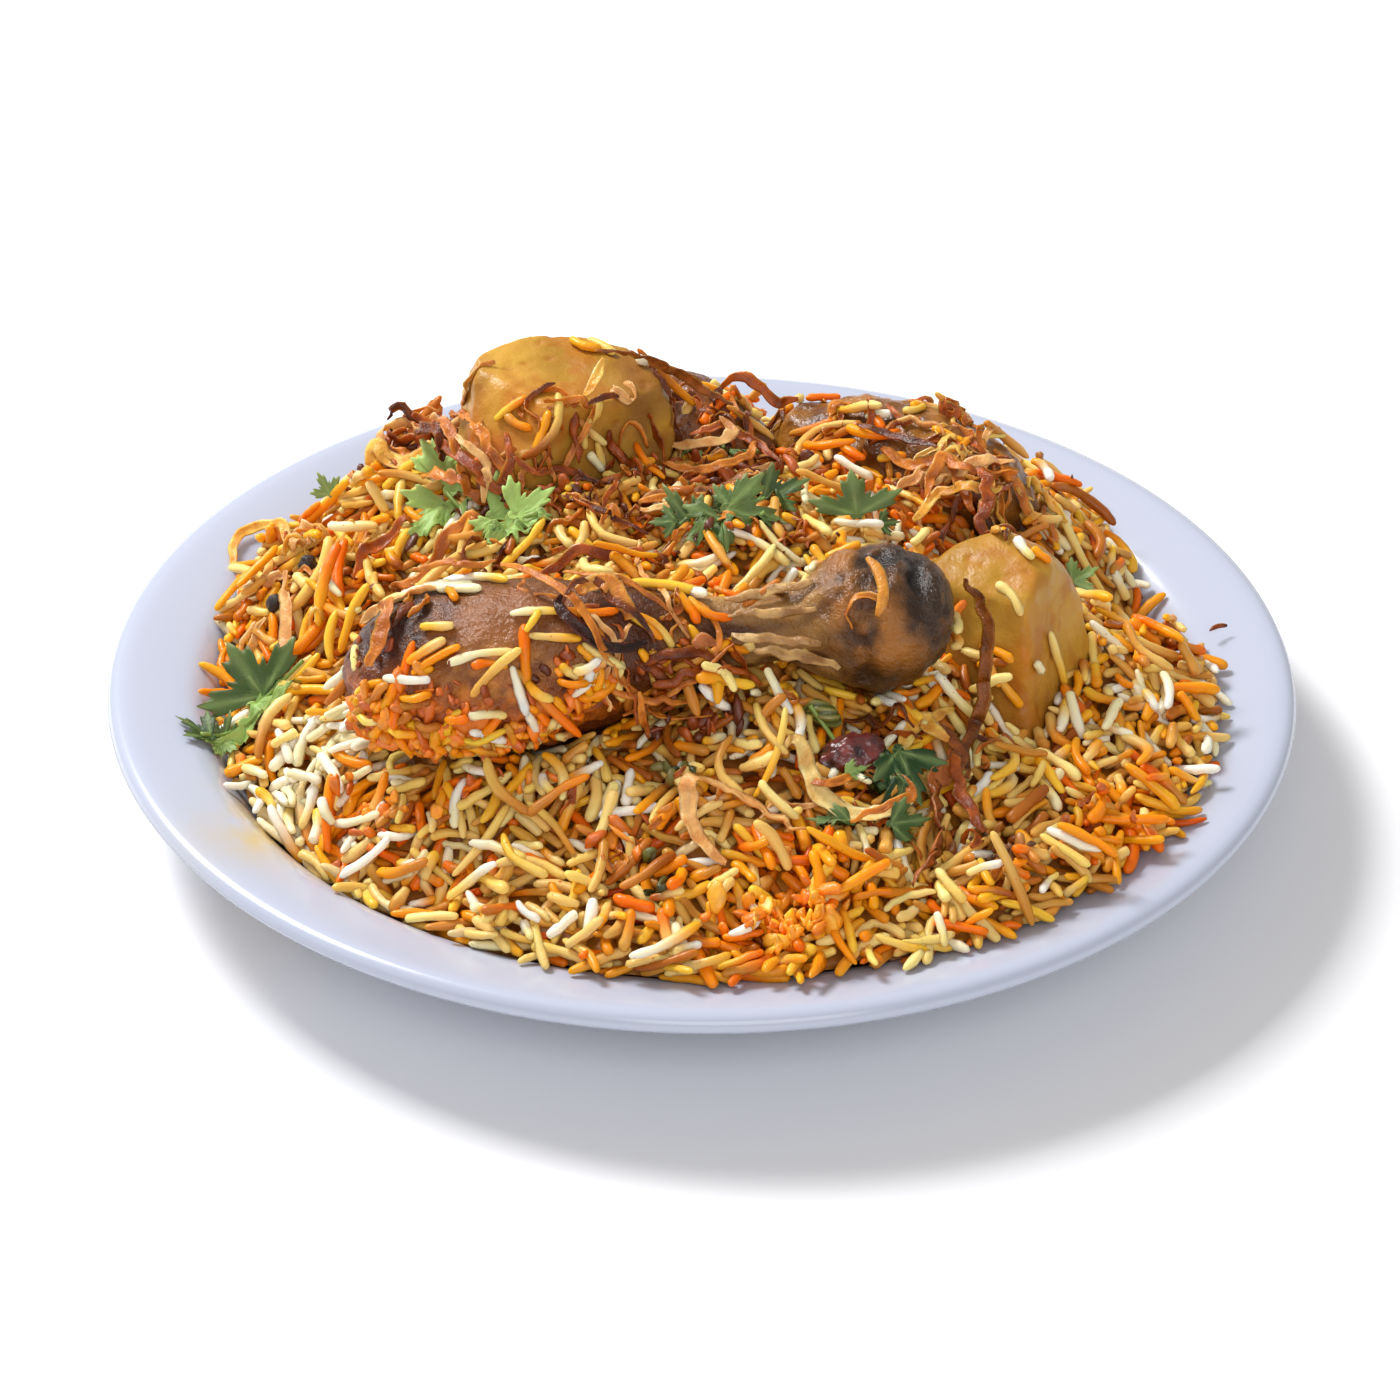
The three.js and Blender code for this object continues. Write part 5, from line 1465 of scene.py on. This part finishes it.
def ball():
    """The points and faces of a small icosphere of radius 1."""
    mesh = bpy.data.meshes.new("ball")
    shape = bmesh.new()
    bmesh.ops.create_icosphere(shape, subdivisions=2, radius=1)
    shape.to_mesh(mesh)
    shape.free()
    points = np.array([v.co[:] for v in mesh.vertices])
    faces = np.array([p.vertices[:] for p in mesh.polygons])
    bpy.data.meshes.remove(mesh)
    return points, faces


# Where masala sticks to the pieces: middle, spread, how many bits, their size and colour.
CRUST_PLACES = [
    ((-66, -66, 52), (9, 4, 6), 60, (1.6, 4.4), "orange"),
    ((-52, -69, 50), (10, 3, 5), 46, (1.4, 4.0), "orange"),
    ((-36, -69, 50), (10, 3, 5), 30, (1.2, 3.4), "orange"),
    ((-58, -64, 60), (8, 3, 4), 14, (1.2, 3.0), "orange"),
    ((-40, -66, 60), (14, 3, 7), 16, (1.0, 2.6), "red"),
    ((-24, -64, 62), (8, 4, 8), 26, (1.2, 3.6), "orange"),
    ((-6, -60, 62), (9, 3, 5), 34, (1.2, 3.4), "red"), ((-68, -54, 66), (5, 5, 6), 12, (1.0, 2.6), "red"),
    ((46, 24, 58), (12, 8, 5), 24, (1.2, 3.2), "orange"), ((-46, 16, 60), (6, 4, 6), 20, (1.2, 3.4), "red"),
]


def crumb(points, place, size, shades, local):
    """An uneven bit of masala: its vertices and their colours."""
    scale = size / 2 * np.array([1.7, 0.9, 0.6]) * local.uniform(0.6, 1.4, 3)
    turn = np.array(Euler(tuple(local.uniform(0, 6.28, 3))).to_matrix())
    lump = points * (1 + 0.55 * noise_at(points + local.uniform(0, 50), 0.8, 3))[:, None]
    vertices = (lump * scale) @ turn.T + place
    tone = shades[local.integers(len(shades))] * local.uniform(0.8, 1.15)
    return vertices, tone * (1 + 0.3 * noise_at(vertices, 0.9, 5))[:, None]


def build_crust(stuff):
    """Bits of masala stuck to the chicken and the potatoes."""
    local = np.random.default_rng(18)
    points, faces = ball()
    parts = []
    for middle, spread, count, sizes, colour in CRUST_PLACES:
        tree = min(SURFACES.values(), key=lambda t: t.find_nearest(Vector(middle))[3])
        for _ in range(count):
            about = np.array(middle) + local.normal(size=3) * np.array(spread) * 0.6
            near = tree.find_nearest(Vector(about))[0]
            vertices, tints = crumb(points, np.array(near), local.uniform(*sizes), CRUMB_COLOURS[colour],
                                    local)
            parts.append((vertices, faces, tints))
    add_parts("masala_crust", parts, stuff)


def build_crumbs(pile):
    """Loose bits of masala on the rice, and those stuck to the pieces."""
    open_rice = is_rice & ~is_piece
    local = np.random.default_rng(8)
    points, faces = ball()
    parts = []
    for middle, spread, count, (least, most), colour in CRUMB_PLACES:
        for _ in range(count):
            place = np.array(middle) + local.normal(size=2) * np.array(spread) * 0.6
            cell = cell_of(*place)
            if not open_rice[cell]:
                continue
            vertices, tints = crumb(points, np.array([*place, pile.surface[cell] + 0.1]),
                                    local.uniform(least, most), CRUMB_COLOURS[colour], local)
            parts.append((vertices, faces, tints))
    crumbs = material("masala", bump=[(0.6, 0.15)], Roughness=0.45, Coat_Weight=0.2, Coat_Roughness=0.25)
    add_parts("masala_crumbs", parts, crumbs)
    build_crust(crumbs)


# ---------------------------------------------------------------- small things

def build_small():
    """The plum, the cardamom pod and the peppercorns."""
    plum_v, plum_f, plum_n = detailed("dried_plum", voxel=0.4, smoothing=3, subdivide=2)
    wrinkles = 0.9 * rough_noise(plum_v, 4.5, 3) + 0.3 * rough_noise(plum_v, 1.4, 6)
    plum_v = plum_v + plum_n * wrinkles[:, None]
    tone = patchy(plum_v, 2.5, 9, 0.6)
    plum = add_mesh("plum_flesh", plum_v, plum_f,
                    material("plum", bump=[(0.8, 0.15)], Roughness=0.3, Coat_Weight=0.5,
                             Coat_Roughness=0.2),
                    mix(srgb(48, 16, 18), srgb(128, 50, 44), tone))
    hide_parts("dried_plum")
    pod_v, pod_f, pod_n = detailed("cardamom_pod", voxel=0.3, smoothing=3, subdivide=2)
    ribs = np.sin(np.arctan2(pod_v[:, 2] - pod_v[:, 2].mean(), pod_v[:, 1] - pod_v[:, 1].mean()) * 9)
    pod_v = pod_v + pod_n * (0.15 * ribs)[:, None]
    pod = add_mesh("pod_husk", pod_v, pod_f,
                   material("cardamom", bump=[(0.8, 0.1)], Roughness=0.4, Subsurface_Weight=0.2,
                            Subsurface_Scale=0.001, Coat_Weight=0.3),
                   mix(srgb(70, 78, 24), srgb(136, 130, 60), np.clip(0.5 + 0.5 * ribs, 0, 1)))
    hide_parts("cardamom_pod")
    wrinkled = material("peppercorn_skin", srgb(38, 26, 20), bump=[(0.7, 0.4)], Roughness=0.55,
                        Coat_Weight=0.2)
    for node in ("peppercorn_1", "peppercorn_2"):
        v, f, n = detailed(node, voxel=0.3, smoothing=2, subdivide=2)
        v = v + n * (0.25 * rough_noise(v, 1.1, 4))[:, None]
        corn = add_mesh(node + "_wrinkled", v, f, wrinkled)
        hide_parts(node)


# ---------------------------------------------------------------- build

build_plate()
rice_pile, loose_grains, cooked_rice = build_rice()
covered = blurred(np.maximum(loose_grains.surface, plate_top), 1)
build_drumstick()
build_skin_piece("back_leg", seed=31, dark=srgb(96, 54, 12), light=srgb(164, 106, 36), lump=1.3)
build_skin_piece("thigh", seed=41, dark=srgb(74, 34, 8), light=srgb(140, 78, 22), lump=1.6)
build_potato("potato_left", seed=51, smoothing=4, marks=LEFT_STAINS_AND_SHADE)
build_potato("potato_right", seed=61, smoothing=26, marks=RIGHT_STAINS_AND_SHADE)
build_onion(covered, rice_pile.surface)
build_laid_grains(cooked_rice)
build_coriander(blurred(np.maximum(rice_pile.surface, plate_top), 1))
build_crumbs(rice_pile)
build_small()


# ---------------------------------------------------------------- stage, light, camera

WORLD_COLOUR, WORLD_STRENGTH = (1.0, 0.985, 0.96, 1), 0.44
# Name, place in metres, size in metres and power of each lamp.
LAMPS = [("key", (-0.7, 0.6, 1.1), 0.5, 25), ("fill", (0.2, -1.3, 0.9), 1.0, 9)]
LIT_POINT = Vector((0, 0, 0.03))


def build_stage():
    """A pale sheet under the plate, an even sky and two soft lamps."""
    bpy.ops.mesh.primitive_plane_add(size=6, location=(0, 0, 0))
    floor = bpy.context.object
    floor.name = "floor"
    floor.data.materials.append(material("floor_paper", srgb(240, 240, 242), Roughness=0.9))
    world = bpy.data.worlds.new("studio")
    world.use_nodes = True
    world.node_tree.nodes["Background"].inputs["Color"].default_value = WORLD_COLOUR
    world.node_tree.nodes["Background"].inputs["Strength"].default_value = WORLD_STRENGTH
    bpy.context.scene.world = world
    for name, place, size, power in LAMPS:
        lamp = bpy.data.lights.new(name, "AREA")
        lamp.size = size
        lamp.energy = power
        lit = bpy.data.objects.new(name, lamp)
        lit.location = place
        lit.rotation_euler = (LIT_POINT - Vector(place)).to_track_quat("-Z", "Y").to_euler()
        bpy.context.scene.collection.objects.link(lit)


def build_camera():
    """Looks along +Y, down on the dish."""
    elevation, roll, distance = math.radians(33.42), math.radians(0.57), 0.8
    target = Vector((-0.0004, -0.0185, 0.028))
    lens = bpy.data.cameras.new("camera")
    lens.sensor_width = 36
    lens.lens = 95.2
    camera = bpy.data.objects.new("camera", lens)
    camera.location = target + distance * Vector((0, -math.cos(elevation), math.sin(elevation)))
    looking = Euler((math.pi / 2 - elevation, 0, 0)).to_matrix()
    camera.rotation_euler = (looking @ Euler((0, 0, roll)).to_matrix()).to_euler()
    bpy.context.scene.collection.objects.link(camera)
    bpy.context.scene.camera = camera


build_stage()
build_camera()
bpy.context.scene.view_settings.view_transform = "Standard"
